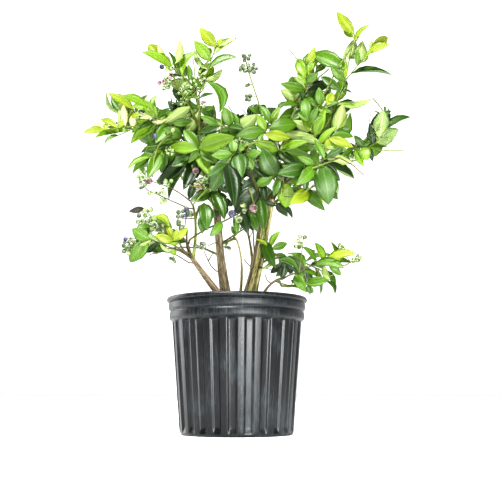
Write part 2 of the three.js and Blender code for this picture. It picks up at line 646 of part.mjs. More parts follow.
function growMass(plan, plans, limbs) {
  const rng = dice(plan.seed);
  const free = (point, margin) =>
    insideSpace(point, plan, plans) && clearOfLimbs(point, limbs, margin) && clearOfPot(point);
  const grown = { twigs: [], leaves: [], berries: [] };

  // The blade is tried against twigs a little off its root, where it leaves its own twig.
  const roomFor = (points, length) => {
    const centre = mix(points[0], points[3], 0.55);
    const shift = mul(sub(points[3], points[0]), 0.08);
    const lifted = points.map((point) => add(point, shift));
    const clear = grown.leaves.every((other) => {
      const apart = size(sub(mix(other[0], other[3], 0.55), centre));
      return apart > length * LEAF_APART && !bladesCross(points, other);
    });
    return clear && grown.twigs.every(({ line }) => !lineCrossesBlade(line, lifted));
  };

  const addLeaf = (root, axis, angle, splay, length) => {
    const lift = plan.lift + 0.3 * (rng() - 0.5);
    const way = leafWay(axis, angle, splay, lift);
    const face = leafFace(root, way, LEAF_ROLL * (rng() - 0.5));
    for (const share of [1, 0.82, 0.66]) {
      const points = leafPoints(root, way, face, length * share);
      const fits = leafSamples(points).every((point) => free(point, LIMB_MARGIN));
      if (fits && roomFor(points, length * share)) {
        grown.leaves.push(points);
        return;
      }
    }
  };

  const leafAlong = (line, start, length, phase) => {
    const run = size(sub(line[line.length - 1], line[0])) * (1 - start);
    const count = Math.max(1, Math.round(run / LEAF_SPACING));
    for (let k = 0; k < count; k += 1) {
      const share = start + ((1 - start) * (k + 0.6)) / (count + 0.2);
      const big = length * (1.08 - 0.3 * share) * (0.9 + 0.2 * rng());
      addLeaf(along(line, share), heading(line, share), phase + TURN * k, LEAF_SPLAY, big);
    }
    const tip = heading(line, 1);
    addLeaf(sub(along(line, 1), mul(tip, 0.7)), tip, phase + 1, 0.22, length * 0.82);
    addLeaf(along(line, 0.86), tip, phase + 1 + Math.PI * 0.9, 0.7, length * 0.75);
  };

  const addBerries = (line, count) => {
    for (let k = 0; k < count; k += 1) {
      const share = 0.98 - 0.22 * k;
      const axis = heading(line, share);
      const out = leafWay(axis, rng() * 6.28, 1.5, -0.5);
      const radius = BERRY_RADIUS * (0.8 + 0.35 * rng());
      const centre = add(along(line, share), mul(out, radius * 0.8));
      if (free(centre, radius + 1.5) && free(add(centre, mul(out, radius)), 1.5)) {
        grown.berries.push({ centre, radius });
      }
    }
  };

  const stemRadius = (share) => STEM_THICK + (STEM_TIP - STEM_THICK) * share;
  const stemRadii = plan.line.map((_, i) => stemRadius(i / (plan.line.length - 1)));
  grown.twigs.push({ line: plan.line, radii: stemRadii });
  leafAlong(plan.line, Math.max(plan.bare, 0.12), plan.leaf, rng() * 6.28);

  let fruit = plan.fruit;
  for (let k = 0; k < plan.shoots; k += 1) {
    const share = plan.bare + ((0.97 - plan.bare) * (k + 0.4)) / plan.shoots;
    const root = along(plan.line, share);
    const axis = heading(plan.line, share);
    const angle = TURN * k + rng() * 0.5 + plan.seed;
    const way = leafWay(axis, angle, SHOOT_SPLAY, 0.25);
    const length = plan.shoot * (0.8 + 0.4 * rng());
    for (const part of [1, 0.75, 0.5]) {
      const end = add(root, mul(way, length * part));
      const checks = [mix(root, end, 0.4), mix(root, end, 0.7), end];
      const line = [root, end];
      const open = grown.leaves.every((leaf) => !lineCrossesBlade(line, leaf));
      if (open && checks.every((point) => free(point, STEM_THICK + 1))) {
        grown.twigs.push({ line, radii: [stemRadius(share) * SHOOT_SHARE, SHOOT_TIP] });
        const berries = Math.min(fruit, 3);
        if (berries > 0 && k % 2 === 0) {
          addBerries(line, berries);
          fruit -= berries;
        }
        leafAlong(line, 0.3, plan.leaf, rng() * 6.28);
        break;
      }
    }
  }
  return grown;
}

function massSolid(grown, limbs) {
  const pieces = grown.twigs.map(({ line, radii }) => sweep(line, radii, 3, false));
  pieces.push(...grown.leaves.map(leafSolid));
  pieces.push(...grown.berries.map(({ centre, radius }) => berrySolid(centre, radius)));
  let body = join(pieces);
  for (const limb of Object.values(limbs)) {
    body = body.subtract(limb.room);
  }
  return largest(body);
}

function planMasses(limbs) {
  return MASSES.map((row) => {
    const start = along(limbs[row.on].line, row.share);
    const toward = unit(sub(row.by, start));
    const from = row.share === 1 ? add(start, mul(toward, GAP)) : start;
    return { ...row, line: curve(from, row.by, row.to, STEM_STEPS) };
  });
}

// ---------------------------------------------------------------- assembly

const SURFACES = {
  pot: { color: 0x35393d, roughness: 0.38, metalness: 0 },
  soil: { color: 0x3a2721, roughness: 0.95, metalness: 0 },
  cane: { color: 0x8d7454, roughness: 0.8, metalness: 0 },
  bough: { color: 0x7c8440, roughness: 0.7, metalness: 0 },
  foliage: { color: 0x5fa02a, roughness: 0.5, metalness: 0 },
};

function meshOf(name, body, surface) {
  const { vertProperties, triVerts } = body.getMesh();
  const geometry = new THREE.BufferGeometry();
  const flat = new THREE.BufferAttribute(Float32Array.from(vertProperties), 3);
  geometry.setAttribute("position", flat);
  geometry.setIndex(Array.from(triVerts));
  geometry.computeVertexNormals();
  const mesh = new THREE.Mesh(geometry, new THREE.MeshStandardMaterial(surface));
  mesh.name = name;
  return mesh;
}

const bush = new THREE.Group();
bush.name = "blueberry_bush_in_pot";
bush.add(meshOf("pot", pot(), SURFACES.pot));
bush.add(meshOf("soil", soil(), SURFACES.soil));

const limbs = growLimbs();
for (const [name, limb] of Object.entries(limbs)) {
  const surface = name.startsWith("cane") ? SURFACES.cane : SURFACES.bough;
  bush.add(meshOf(name, limb.body, surface));
}

const plans = planMasses(limbs);
for (const plan of plans) {
  const grown = growMass(plan, plans, limbs);
  bush.add(meshOf(`mass_${plan.name}`, massSolid(grown, limbs), SURFACES.foliage));
}

export default bush;
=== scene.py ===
"""A blueberry bush in a fluted nursery pot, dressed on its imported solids.

Lengths in the tables are millimetres; meshes are in metres, +Z up, front towards -Y.
"""

import json
import math
from functools import partial

import bmesh
import bpy
import numpy as np
from mathutils import Matrix, Vector

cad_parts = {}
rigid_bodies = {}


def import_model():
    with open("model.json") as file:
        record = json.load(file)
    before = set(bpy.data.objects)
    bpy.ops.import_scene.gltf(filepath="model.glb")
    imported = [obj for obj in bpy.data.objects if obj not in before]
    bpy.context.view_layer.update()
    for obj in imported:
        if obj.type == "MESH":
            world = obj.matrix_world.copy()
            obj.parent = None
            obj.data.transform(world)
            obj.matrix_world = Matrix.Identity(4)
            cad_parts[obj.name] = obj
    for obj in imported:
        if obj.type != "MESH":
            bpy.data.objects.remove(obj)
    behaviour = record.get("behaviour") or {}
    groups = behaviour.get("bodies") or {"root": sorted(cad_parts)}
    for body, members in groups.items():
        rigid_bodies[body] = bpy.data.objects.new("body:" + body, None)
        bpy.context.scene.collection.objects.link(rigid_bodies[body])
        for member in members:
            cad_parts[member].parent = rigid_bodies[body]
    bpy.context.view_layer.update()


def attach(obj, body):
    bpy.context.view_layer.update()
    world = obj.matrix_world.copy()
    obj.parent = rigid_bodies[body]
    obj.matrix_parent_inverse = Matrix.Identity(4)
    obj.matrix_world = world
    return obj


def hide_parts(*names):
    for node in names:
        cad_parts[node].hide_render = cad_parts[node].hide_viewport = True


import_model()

MM = 0.001

# ---------------------------------------------------------------- camera

# place in millimetres, upward pitch in degrees, focal length on a 36 mm film
CAMERA_PLACE = (24.2, -1600.0, 79.6)
CAMERA_PITCH = 9.304
CAMERA_LENS = 61.72

camera_data = bpy.data.cameras.new("view")
camera_data.lens = CAMERA_LENS
camera_data.sensor_width = 36.0
camera = bpy.data.objects.new("view", camera_data)
camera.location = Vector(CAMERA_PLACE) * MM
camera.rotation_euler = (math.radians(90 + CAMERA_PITCH), 0, 0)
bpy.context.scene.collection.objects.link(camera)
bpy.context.scene.camera = camera

# ---------------------------------------------------------------- sizes of the plant

SOIL_TOP = 222
GAP = 0.3

# Canes widen towards the soil by this share of their radius, within about this height.
FLARE_SHARE = 0.45
FLARE_HEIGHT = 42

# Radii of a mass's stem at its two ends, of its shoots, and of the finer ones.
STEM_THICK = 2.6
STEM_TIP = 1.3
SHOOT_SHARE = 0.45  # of the stem's radius there
SHOOT_TIP = 0.55
FINER_RADII = (1.0, 0.5)
FINER_SHOOT_GAP = 2.0
STEM_STEPS = 4
LIMB_STEPS = 40

# Leaves: distance between them, width over length, rise of the two halves, and least distance
# between two middles over length.
LEAF_SPACING = 19
FINE_SPACING = 10
LEAF_WIDTH = 0.46
LEAF_FOLD = 0.2
LEAF_APART = 0.3
BERRY_RADIUS = 5.6

# Angles in radians: from leaf to leaf, away from the stem, and the range of a blade's roll.
TURN = 2.39996
CIRCLE = 6.28  # the range of a random turn
SHOOT_SPLAY = 0.92
LEAF_SPLAY = 1.0
LEAF_ROLL = 1.3

# Blades face the light, which comes from outside and somewhat from the front.
LIGHT_REACH = 170
LIGHT_FRONT = 0.9

# Set-out leaves: a narrow one is at least this wide and turned away, a broad one starts here.
LEAST_WIDTH = 0.36
BROAD_SEEN = 0.4

# Grown leaves stay this far behind the set-out ones, mostly hidden by them or over the crown,
# and are dealt this much darker a tone, as painted shade behind the front leaves.
IN_FRONT = 3
HIDDEN_MARGIN = 4
HIDDEN_SHARE = 0.75
BEHIND_PAINTED_SHADE = 0.9

FINER_SPRAY = 20  # sprays are numbered from here on the finer shoots
CARRY_REACH = 3  # a twig carries what starts this near to it

# Sizes that are tried in turn, as shares, until one finds room.
LEAF_TRIES = (1, 0.82, 0.66)
SHOOT_TRIES = (1, 0.75, 0.5)
FINER_TRIES = (1, 0.7, 0.45)

# Blade shapes by the order they are made in: those that grown leaves and set-out leaves are
# dealt from, of which a narrow set-out leaf takes the first two, and the bent ones.
GROWN_BLADES = 4
SET_OUT_BLADES = (0, 2, 1)
BENT_BLADES = {"bent_left": 4, "bent_right": 5}

# Added to a mass's seed for its finer shoots and for its colours; then seeds of their own.
FINER_SEED = 101
COLOUR_SEED = 7
SHAPE_SEED = 77
RACEME_SEED = 31
SOIL_SEED = 5
BARK_SEED = 3
PERLITE_SEED = 4

# Clearance between the spaces of two masses, of leaves from limbs, and round the pot.
SPACE_MARGIN = 1.0
LIMB_MARGIN = 5.5
POT_MARGIN = 8

POT_HEIGHT = 250
LIP_RADIUS = 131
BASE_RADIUS = 104
WALL_TOP_RADIUS = 120.4
WALL_TOP_Z = 206
WALL_THICK = 2.0
FLOOR_THICK = 2.5
FLUTES = 24
FLUTE_DEPTH = 4.0
FLUTE_TURN = 4.2  # degrees
SEAM_TURN = -0.087  # radians from the pot's front and back
FLUTE_SAMPLES = 20
RIDGE_SHARE = 0.2  # half of a ridge's width, as a share of a flute

# Limb, its root (a place on the soil, or a limb and the share along it), the point it
# passes half way, its end, radius at the root and at the end.
LIMBS = [
    ("cane_main", (-15, 0), (-30, 1, 319), (-40, 6, 428), 8.9, 7.0),
    ("cane_left", (-7, -25), (-51, -31, 278), (-83, -36, 321), 5.8, 4.5),
    ("cane_thin", (0, 19), (8, 24, 311), (-3, 22, 369), 2.4, 1.7),
    ("cane_brown", (1, -4), (31, 10, 320), (48, 26, 452), 4.4, 3.2),
    ("cane_olive", (12, -15), (39, -13, 326), (56, -24, 433), 4.4, 3.3),
    ("cane_yellow", (25, 2), (50, 2, 346), (67, 2, 439), 5.0, 4.7),
    ("cane_low", (31, -15), (58, -20, 269), (85, -28, 283), 2.5, 1.9),
    ("cane_back_left", (-22, 24), (-33, 64, 336), (-39, 118, 454), 5.2, 3.6),
    ("cane_back_right", (19, 22), (38, 64, 336), (57, 124, 456), 5.0, 3.6),
    ("bough_left_leader", ("cane_main", 0.97), (-67, 8, 509), (-74, 6, 615), 5.0, 2.6),
    ("bough_inner", ("cane_main", 1.0), (-26, 12, 481), (16, 16, 538), 5.0, 2.8),
    ("bough_left_reach", ("bough_left_leader", 0.42), (-95, -10, 542), (-124, -16, 584), 2.8, 1.9),
    ("bough_left_rise", ("cane_left", 0.97), (-76, -42, 369), (-81, -44, 417), 2.9, 1.9),
    ("bough_right_leader", ("cane_yellow", 1.0), (103, 0, 497), (164, 4, 572), 4.2, 2.4),
    ("bough_right_reach", ("bough_right_leader", 0.42), (157, 30, 519), (222, 42, 549), 2.7, 1.8),
    ("bough_right_front", ("cane_olive", 1.0), (85, -58, 456), (116, -92, 462), 3.0, 1.9),
    ("bough_centre_front", ("cane_olive", 0.88), (35, -58, 452), (22, -92, 477), 2.5, 1.7),
    ("bough_upper_mid", ("cane_brown", 1.0), (67, 30, 542), (103, 24, 617), 3.0, 2.0),
    ("bough_back_left", ("cane_back_left", 0.94), (-79, 125, 488), (-115, 132, 511), 2.7, 1.8),
    ("bough_back_right", ("cane_back_right", 0.94), (111, 132, 489), (166, 138, 516), 2.7, 1.8),
    ("bough_back_top", ("cane_back_right", 1.0), (41, 112, 537), (39, 100, 561), 3.0, 1.9),
]

# Mass, limb it grows on, share along the limb, the point its stem passes half way, stem's
# end, reach, bare share, shoots, shoot length, leaf length, lift, fruit, seed, leaf tone from 0
# (youngest, yellow-green; also painted light where the crown is lit) to 4 (old, dark; also
# painted shade inside the crown), and how many finer shoots fill it.
MASSES = [
    ("top_left", "bough_left_leader", 1, (-81, 14, 684), (-49, 5, 729),
     70, 0.12, 4, 45, 69, 0.49, 0, 4034, 0.2, 3),
    ("top_left_side", "bough_left_leader", 0.86, (-120, -22, 670), (-135, -22, 702),
     58, 0.25, 5, 41, 70, 0.5, 2, 8330, 0.2, 3),
    ("left_reach", "bough_left_reach", 1, (-152, -24, 567), (-245, -27, 565),
     64, 0.05, 5, 29, 64, 0.3, 0, 3072, 0.2, 3),
    ("left_mid", "bough_left_reach", 0.78, (-146, -45, 535), (-157, -54, 470),
     60, 0.1, 5, 42, 69, 0.1, 1, 1456, 1.8, 14),
    ("left_fruit", "bough_left_rise", 1, (-66, -45, 484), (-167, -58, 456),
     40, 0.45, 4, 26, 51, -0.37, 2, 5858, 2.2, 4),
    ("low_left", "cane_left", 1, (-111, -63, 322), (-155, -75, 340),
     54, 0.35, 5, 31, 56, 0.21, 1, 3520, 1.2, 4),
    ("low_left_upper", "bough_left_rise", 0.08, (-117, -34, 345), (-166, -19, 392),
     42, 0.5, 5, 28, 70, -0.38, 2, 3223, 1.2, 3),
    ("rise_side", "bough_left_rise", 0.72, (-66, -49, 421), (-52, -76, 384),
     44, 0.2, 3, 25, 52, -0.29, 0, 1687, 3.0, 3),
    ("centre_left", "bough_left_leader", 0.66, (-39, -46, 492), (-29, -52, 597),
     68, 0.1, 5, 49, 66, 0.16, 1, 3449, 2.0, 29),
    ("centre_hang", "bough_inner", 0.35, (-45, -50, 456), (-81, -59, 416),
     62, 0.15, 2, 46, 57, -0.5, 0, 8705, 3.2, 25),
    ("berry_arm", "cane_left", 0.9, (-61, -67, 416), (-4, -102, 385),
     32, 0.62, 1, 14, 54, 0.04, 2, 7205, 2.4, 1),
    ("fruit_spire", "bough_inner", 1, (31, 11, 627), (11, 12, 715),
     36, 0.3, 3, 14, 37, 0.4, 3, 3884, 1.4, 0),
    ("centre_right", "bough_inner", 0.8, (62, -14, 526), (113, -21, 618),
     68, 0.1, 5, 53, 70, 0.14, 0, 7767, 1.9, 29),
    ("centre_front", "bough_centre_front", 1, (6, -128, 501), (52, -147, 512),
     70, 0.05, 4, 37, 70, 0.12, 0, 11, 2.0, 29),
    ("trunk_leaves", "cane_olive", 0.74, (22, -50, 452), (55, -73, 341),
     52, 0.2, 2, 31, 63, -0.37, 0, 2649, 3.2, 11),
    ("upper_mid", "bough_upper_mid", 1, (121, 25, 656), (180, 14, 706),
     64, 0.05, 4, 44, 69, 0.5, 0, 1465, 0.9, 13),
    ("top_right", "bough_right_leader", 1, (168, 5, 648), (238, -14, 764),
     74, 0.1, 3, 56, 70, 0.3, 0, 6068, 0.8, 3),
    ("right_shoulder", "bough_right_leader", 0.72, (181, 45, 558), (183, 43, 666),
     60, 0.1, 3, 52, 70, 0.5, 0, 3789, 1.4, 16),
    ("right_reach", "bough_right_reach", 1, (254, 53, 573), (273, 46, 581),
     64, 0.05, 4, 60, 56, -0.03, 0, 4519, 1.7, 5),
    ("right_front", "bough_right_front", 1, (120, -110, 465), (186, -118, 489),
     70, 0.05, 5, 39, 70, 0.16, 0, 4213, 1.8, 25),
    ("right_hang", "bough_right_front", 0.5, (94, -86, 425), (166, -97, 457),
     60, 0.15, 3, 32, 70, -0.14, 0, 7609, 2.1, 18),
    ("low_right", "cane_low", 1, (114, -42, 314), (194, -59, 305),
     54, 0.3, 3, 33, 69, 0.28, 1, 82, 1.7, 5),
    ("low_right_under", "cane_low", 0.86, (100, -23, 269), (178, -32, 290),
     48, 0.4, 2, 30, 45, 0.18, 0, 563, 2.4, 4),
    ("low_right_inner", "cane_yellow", 0.36, (88, -30, 312), (41, -47, 350),
     40, 0.4, 1, 14, 44, 0.03, 0, 866, 2.2, 3),
    ("thin_top", "cane_thin", 1, (-31, 31, 359), (26, 32, 397),
     34, 0.3, 2, 19, 35, 0.11, 1, 2842, 2.6, 1),
    ("twin_left", "cane_brown", 0.4, (24, 49, 366), (-4, 31, 462),
     46, 0.5, 5, 57, 61, -0.26, 0, 2413, 3.3, 4),
    ("left_inner", "bough_left_leader", 0.78, (-132, 3, 577), (-74, -39, 646),
     60, 0.1, 5, 26, 70, 0.18, 0, 5255, 2.0, 22),
    ("back_left_top", "cane_back_left", 1, (-66, 178, 552), (-102, 133, 646),
     84, 0.1, 4, 55, 69, 0.18, 0, 258, 2.6, 29),
    ("back_left_out", "bough_back_left", 1, (-145, 133, 555), (-240, 109, 645),
     74, 0.05, 5, 60, 70, 0.09, 0, 8429, 1.8, 22),
    ("back_centre", "cane_back_right", 0.86, (27, 192, 503), (-22, 212, 552),
     80, 0.15, 4, 48, 70, -0.2, 0, 7049, 2.8, 29),
    ("back_right_top", "cane_back_right", 1, (112, 164, 558), (151, 167, 615),
     84, 0.1, 2, 35, 70, 0.18, 0, 8661, 2.6, 29),
    ("back_right_out", "bough_back_right", 1, (193, 152, 540), (265, 150, 563),
     70, 0.05, 2, 27, 66, 0.18, 0, 6192, 1.8, 18),
    ("back_crown", "bough_back_top", 1, (7, 96, 585), (81, 87, 644),
     58, 0.05, 5, 39, 57, 0.16, 0, 6828, 2.4, 22),
    ("back_shoulder", "bough_upper_mid", 0.6, (90, 88, 623), (187, 90, 635),
     64, 0.1, 1, 44, 70, 0.18, 0, 4381, 2.2, 22),
    ("low_back_left", "cane_back_left", 0.42, (-72, 113, 365), (-188, 107, 354),
     60, 0.45, 2, 50, 68, 0.18, 0, 7959, 2.1, 5),
    ("low_back_right", "cane_back_right", 0.42, (91, 90, 342), (168, 124, 320),
     60, 0.45, 2, 21, 70, -0.4, 0, 4019, 2.1, 5),
]
MASS_KEYS = ("name", "on", "share", "by", "to", "reach", "bare", "shoots", "shoot", "leaf",
             "lift", "fruit", "seed", "tone", "finer")

# Shoots set out one by one, which make the outline: name, what it grows on and the share
# along it, radius at the root and at the end, its further points, and its leaves. Leaf: share
# along the shoot, tip, width over length as seen from the front and tone; "under" shows the
# under side, "bent_left" and "bent_right" curve the blade.
SHOOTS = [
    ("top_left_stem", "bough_left_leader", 1, 1.7, 0.75,
     [(-76, 6, 650), (-66, 5, 680), (-56, 5, 709), (-49, 4, 732), (-41, 4, 750)],
     [(0.97, (-74, -10, 782), 0.49, 0), (0.79, (-2, 17, 773), 0.24, 1), (0.99, (-30, -3, 764), 0.5, 0),
      (1, (1, 9, 785), 0.16, 0, "under"), (0.68, (-85, -13, 754), 0.48, 1),
      (0.55, (-86, 18, 749), 0.23, 1, "under"), (0.55, (-1, -1, 725), 0.14, 2),
      (0.4, (-30, 18, 708), 0.28, 1, "under"), (0.4, (-35, -8, 609), 0.29, 2, "bent_left"),
      (0.16, (-46, 15, 655), 0.21, 3), (0.03, (-124, -4, 628), 0.26, 3), (0.15, (-131, 17, 662), 0.31, 2),
      (0.26, (-90, -4, 685), 0.44, 2), (0.03, (-48, 19, 610), 0.41, 2),
      (0.07, (-103, -2, 600), 0.36, 2, "under"), (0.03, (-44, 13, 627), 0.36, 2),
      (0.03, (-97, -13, 566), 0.39, 1, "under"), (0.1, (-87, 13, 624), 0.36, 2)]),
    ("top_left_side_stem", "top_left_stem", 0.23, 1.1, 0.75,
     [(-91, -1, 670), (-108, -8, 684), (-127, -15, 697), (-136, -22, 707)],
     [(0.72, (-183, -38, 720), 0.26, 1), (1, (-174, -9, 748), 0.43, 0),
      (1, (-152, -40, 738), 0.25, 0, "under"), (0.83, (-115, -7, 759), 0.22, 1, "under"),
      (0.68, (-135, -21, 729), 0.17, 3), (0.48, (-73, 7, 739), 0.29, 1, "bent_left"),
      (0.31, (-97, -10, 707), 0.32, 2), (0.41, (-122, 5, 732), 0.46, 1, "under"),
      (0.19, (-134, -11, 670), 0.53, 2, "under"), (0.12, (-105, 16, 693), 0.26, 1, "under"),
      (0.49, (-141, -12, 674), 0.15, 4), (0.06, (-107, 13, 650), 0.23, 3)]),
    ("top_left_spur", "top_left_side_stem", 0.19, 1.1, 0.75, [(-84, 0, 697), (-88, 0, 726)], []),
    ("top_left_raceme", "top_left_side_stem", 0.37, 1.1, 0.75, [(-115, -17, 660), (-133, -30, 663)], []),
    ("left_long", "bough_left_reach", 1, 1.3, 0.75,
     [(-148, -18, 585), (-167, -21, 587), (-190, -23, 576), (-216, -26, 563), (-238, -28, 553)],
     [(0.88, (-251, -39, 538), 0.26, 2), (0.72, (-275, -6, 559), 0.26, 1),
      (0.42, (-132, -34, 591), 0.3, 0, "under"), (0.41, (-194, -16, 590), 0.36, 1),
      (0.21, (-188, -26, 570), 0.22, 3), (0.18, (-206, -1, 550), 0.29, 1),
      (0.14, (-89, -40, 611), 0.38, 1, "under"), (0.04, (-87, -3, 595), 0.36, 2),
      (0.14, (-150, -26, 612), 0.39, 1), (0.48, (-203, -11, 567), 0.31, 2),
      (0.06, (-156, -31, 541), 0.46, 2), (0.28, (-172, -7, 544), 0.36, 2)]),
    ("left_tip", "left_long", 0.6, 1.1, 0.75, [(-208, -29, 576), (-226, -34, 570), (-251, -40, 565)],
     [(0.99, (-287, -56, 554), 0.33, 0), (1, (-248, -34, 580), 0.6, 0),
      (0.85, (-267, -46, 583), 0.3, 0, "under"), (0.66, (-262, -21, 592), 0.32, 0),
      (0.64, (-215, -40, 586), 0.5, 0), (0.67, (-228, -16, 622), 0.27, 1, "under"),
      (0.42, (-215, -47, 612), 0.37, 0, "under")]),
    ("left_rise", "left_long", 0.4, 1.1, 0.75, [(-180, -16, 602), (-192, -11, 612), (-204, -6, 617)],
     [(0.9, (-250, -23, 643), 0.32, 0), (0.99, (-209, 9, 590), 0.4, 0),
      (0.65, (-200, -19, 574), 0.53, 0, "under"), (0.41, (-208, -8, 600), 0.34, 0)]),
    ("left_upper", "left_long", 0.2, 1.1, 0.75, [(-153, -29, 594), (-162, -39, 602), (-170, -50, 607)],
     [(1, (-217, -71, 621), 0.29, 1), (0.68, (-203, -31, 614), 0.29, 1), (0.28, (-179, -42, 625), 0.5, 1),
      (0.66, (-153, -33, 636), 0.21, 1), (0.27, (-126, -38, 609), 0.29, 3),
      (0.53, (-187, -23, 593), 0.52, 0, "under"), (0.25, (-124, -36, 601), 0.26, 1)]),
    ("left_low", "bough_left_reach", 0.67, 1.1, 0.75,
     [(-124, -24, 544), (-142, -35, 525), (-157, -46, 510)],
     [(0, (-140, -33, 570), 0.61, 2), (0.39, (-185, -10, 529), 0.31, 3), (0.64, (-160, -44, 507), 0.59, 1),
      (0.92, (-186, -32, 512), 0.28, 2), (1, (-203, -55, 485), 0.16, 1), (0.94, (-197, -28, 483), 0.23, 2),
      (0.74, (-165, -60, 466), 0.44, 2), (0.32, (-131, -6, 507), 0.45, 2),
      (0.17, (-149, -30, 543), 0.34, 2), (0.57, (-145, -15, 487), 0.36, 3)]),
    ("left_dark", "bough_left_leader", 0.49, 1.3, 0.75, [(-79, -11, 518), (-91, -30, 519)],
     [(0.96, (-124, -37, 495), 0.53, 3), (1, (-149, 0, 468), 0.35, 4), (0.49, (-76, -25, 474), 0.5, 3),
      (0.58, (-132, 7, 442), 0.18, 3), (0.48, (-100, -37, 449), 0.37, 4)]),
    ("left_front", "bough_left_leader", 0.55, 1.3, 0.75, [(-70, -29, 525), (-71, -66, 522)],
     [(1, (-4, -85, 538), 0.49, 1), (0.85, (-128, -38, 532), 0.39, 1), (0.61, (-52, -55, 474), 0.51, 1),
      (0.8, (-91, -45, 499), 0.41, 2), (0.77, (-34, -63, 493), 0.42, 2),
      (0.73, (-102, -35, 566), 0.45, 2)]),
    ("centre_front_twig", "bough_centre_front", 1, 1.3, 0.75,
     [(21, -110, 491), (8, -129, 497), (-6, -148, 488), (-15, -166, 465)],
     [(0.75, (-43, -156, 483), 0.55, 2), (0.8, (-44, -136, 423), 0.46, 3), (0.64, (10, -160, 441), 0.58, 3),
      (0.73, (-6, -140, 516), 0.64, 2), (0.35, (45, -125, 499), 0.52, 2), (0.32, (30, -106, 471), 0.62, 2),
      (0.99, (-2, -201, 380), 0.33, 4), (0.57, (16, -130, 513), 0.5, 2), (1, (-49, -180, 437), 0.34, 3),
      (0.51, (20, -119, 471), 0.47, 4)]),
    ("centre_back_twig", "bough_inner", 1, 1.1, 0.75,
     [(11, -2, 556), (5, -21, 571), (-17, -40, 571), (-39, -58, 567)],
     [(0.75, (14, -54, 561), 0.3, 3), (0.8, (-43, -33, 588), 0.42, 2), (0.71, (-25, -55, 605), 0.6, 2),
      (0.53, (37, -12, 605), 0.64, 1, "under"), (0.46, (-38, -31, 566), 0.45, 2),
      (0.92, (-74, -40, 560), 0.39, 3), (0.95, (-68, -72, 582), 0.4, 2), (0.35, (-14, 1, 551), 0.4, 2),
      (0.28, (38, -12, 534), 0.5, 3), (0.56, (-8, -19, 606), 0.29, 2)]),
    ("centre_cross", "bough_upper_mid", 0.58, 1.1, 0.75, [(75, 2, 578), (62, -26, 581), (50, -54, 553)],
     [(0.92, (-2, -61, 547), 0.5, 2), (1, (100, -41, 548), 0.42, 0), (0.91, (37, -59, 589), 0.53, 1),
      (0.81, (114, -18, 582), 0.51, 2), (0.98, (39, -59, 529), 0.3, 2), (0.58, (43, -11, 623), 0.33, 2),
      (0.61, (82, -33, 613), 0.35, 1)]),
    ("centre_cross_low", "bough_upper_mid", 0.41, 1.1, 0.75, [(74, 3, 534), (81, -23, 530), (99, -50, 527)],
     [(0.61, (30, -33, 545), 0.46, 1), (0.68, (141, -4, 523), 0.42, 2), (0.69, (133, -50, 539), 0.31, 1),
      (0.49, (53, 2, 519), 0.49, 3), (0.53, (111, -26, 501), 0.42, 3),
      (0.69, (111, -11, 563), 0.4, 1, "under")]),
    ("centre_low_twig", "bough_right_front", 0.32, 1.3, 0.75,
     [(67, -53, 476), (83, -59, 463), (99, -66, 452), (116, -73, 445), (131, -80, 439)],
     [(0.29, (46, -79, 519), 0.63, 3), (0.17, (34, -44, 454), 0.52, 2), (0.19, (29, -71, 488), 0.48, 4),
      (0.51, (90, -44, 414), 0.81, 1), (1, (96, -99, 408), 0.52, 0), (0.99, (158, -64, 419), 0.49, 0),
      (0.87, (159, -92, 398), 0.36, 3), (0.64, (118, -60, 434), 0.5, 3), (0.37, (67, -66, 431), 0.46, 3),
      (0.54, (119, -54, 466), 0.39, 2)]),
    ("dark_hang", "bough_centre_front", 0.35, 1.2, 0.75, [(47, -44, 459), (39, -40, 472)],
     [(0.93, (8, -48, 449), 0.48, 4), (0.43, (-5, -30, 406), 0.5, 4), (0.5, (53, -52, 424), 0.53, 4),
      (0.98, (15, -33, 491), 0.52, 4)]),
    ("right_front_twig", "bough_right_front", 1, 1.5, 0.75,
     [(136, -101, 475), (150, -109, 482), (160, -118, 489)],
     [(0.49, (105, -120, 438), 0.42, 2), (0.71, (165, -95, 408), 0.55, 3),
      (0.49, (149, -113, 429), 0.29, 3), (0.76, (186, -101, 451), 0.42, 4),
      (0.96, (191, -126, 506), 0.36, 3), (1, (210, -104, 483), 0.37, 1, "under"),
      (0.92, (139, -124, 521), 0.35, 2), (0.82, (213, -84, 461), 0.24, 4), (0.29, (73, -122, 459), 0.46, 3),
      (0.16, (124, -88, 433), 0.37, 3), (0.47, (109, -114, 493), 0.42, 2)]),
    ("right_upper_twig", "bough_right_leader", 0.81, 1.3, 0.75,
     [(151, -9, 539), (162, -19, 551), (176, -30, 554)],
     [(0.42, (190, -26, 576), 0.29, 1), (0.98, (222, -17, 558), 0.28, 2), (0.91, (219, -38, 531), 0.34, 0),
      (0.94, (169, -16, 527), 0.49, 0), (0.56, (122, -32, 552), 0.41, 1, "under"),
      (0.37, (120, 0, 542), 0.45, 2), (0.56, (209, -32, 527), 0.35, 1), (0.12, (157, 6, 506), 0.44, 2)]),
    ("right_mid_twig", "bough_right_leader", 0.88, 1.2, 0.75,
     [(148, -5, 562), (143, -13, 577), (135, -20, 591)],
     [(0.3, (169, -16, 614), 0.36, 1), (0.47, (130, 3, 612), 0.4, 1),
      (0.44, (168, -15, 586), 0.36, 1, "under"), (0.6, (107, 5, 598), 0.49, 1, "under"),
      (0.86, (155, -25, 618), 0.37, 2), (0.94, (115, -14, 608), 0.39, 2),
      (0.39, (91, -32, 561), 0.34, 1, "under"), (1, (131, -7, 639), 0.47, 2),
      (0.89, (163, -24, 596), 0.33, 2)]),
    ("right_paddle", "bough_right_leader", 0.97, 1.2, 0.75, [(179, -1, 561), (194, -6, 567)],
     [(0.85, (202, -26, 621), 0.46, 1, "under"), (0.94, (217, 3, 612), 0.25, 0),
      (0.74, (217, -15, 574), 0.2, 3)]),
    ("upper_mid_stem", "bough_upper_mid", 1, 1.6, 0.75,
     [(119, 22, 633), (133, 20, 649), (135, 18, 669), (135, 16, 689), (135, 14, 709)],
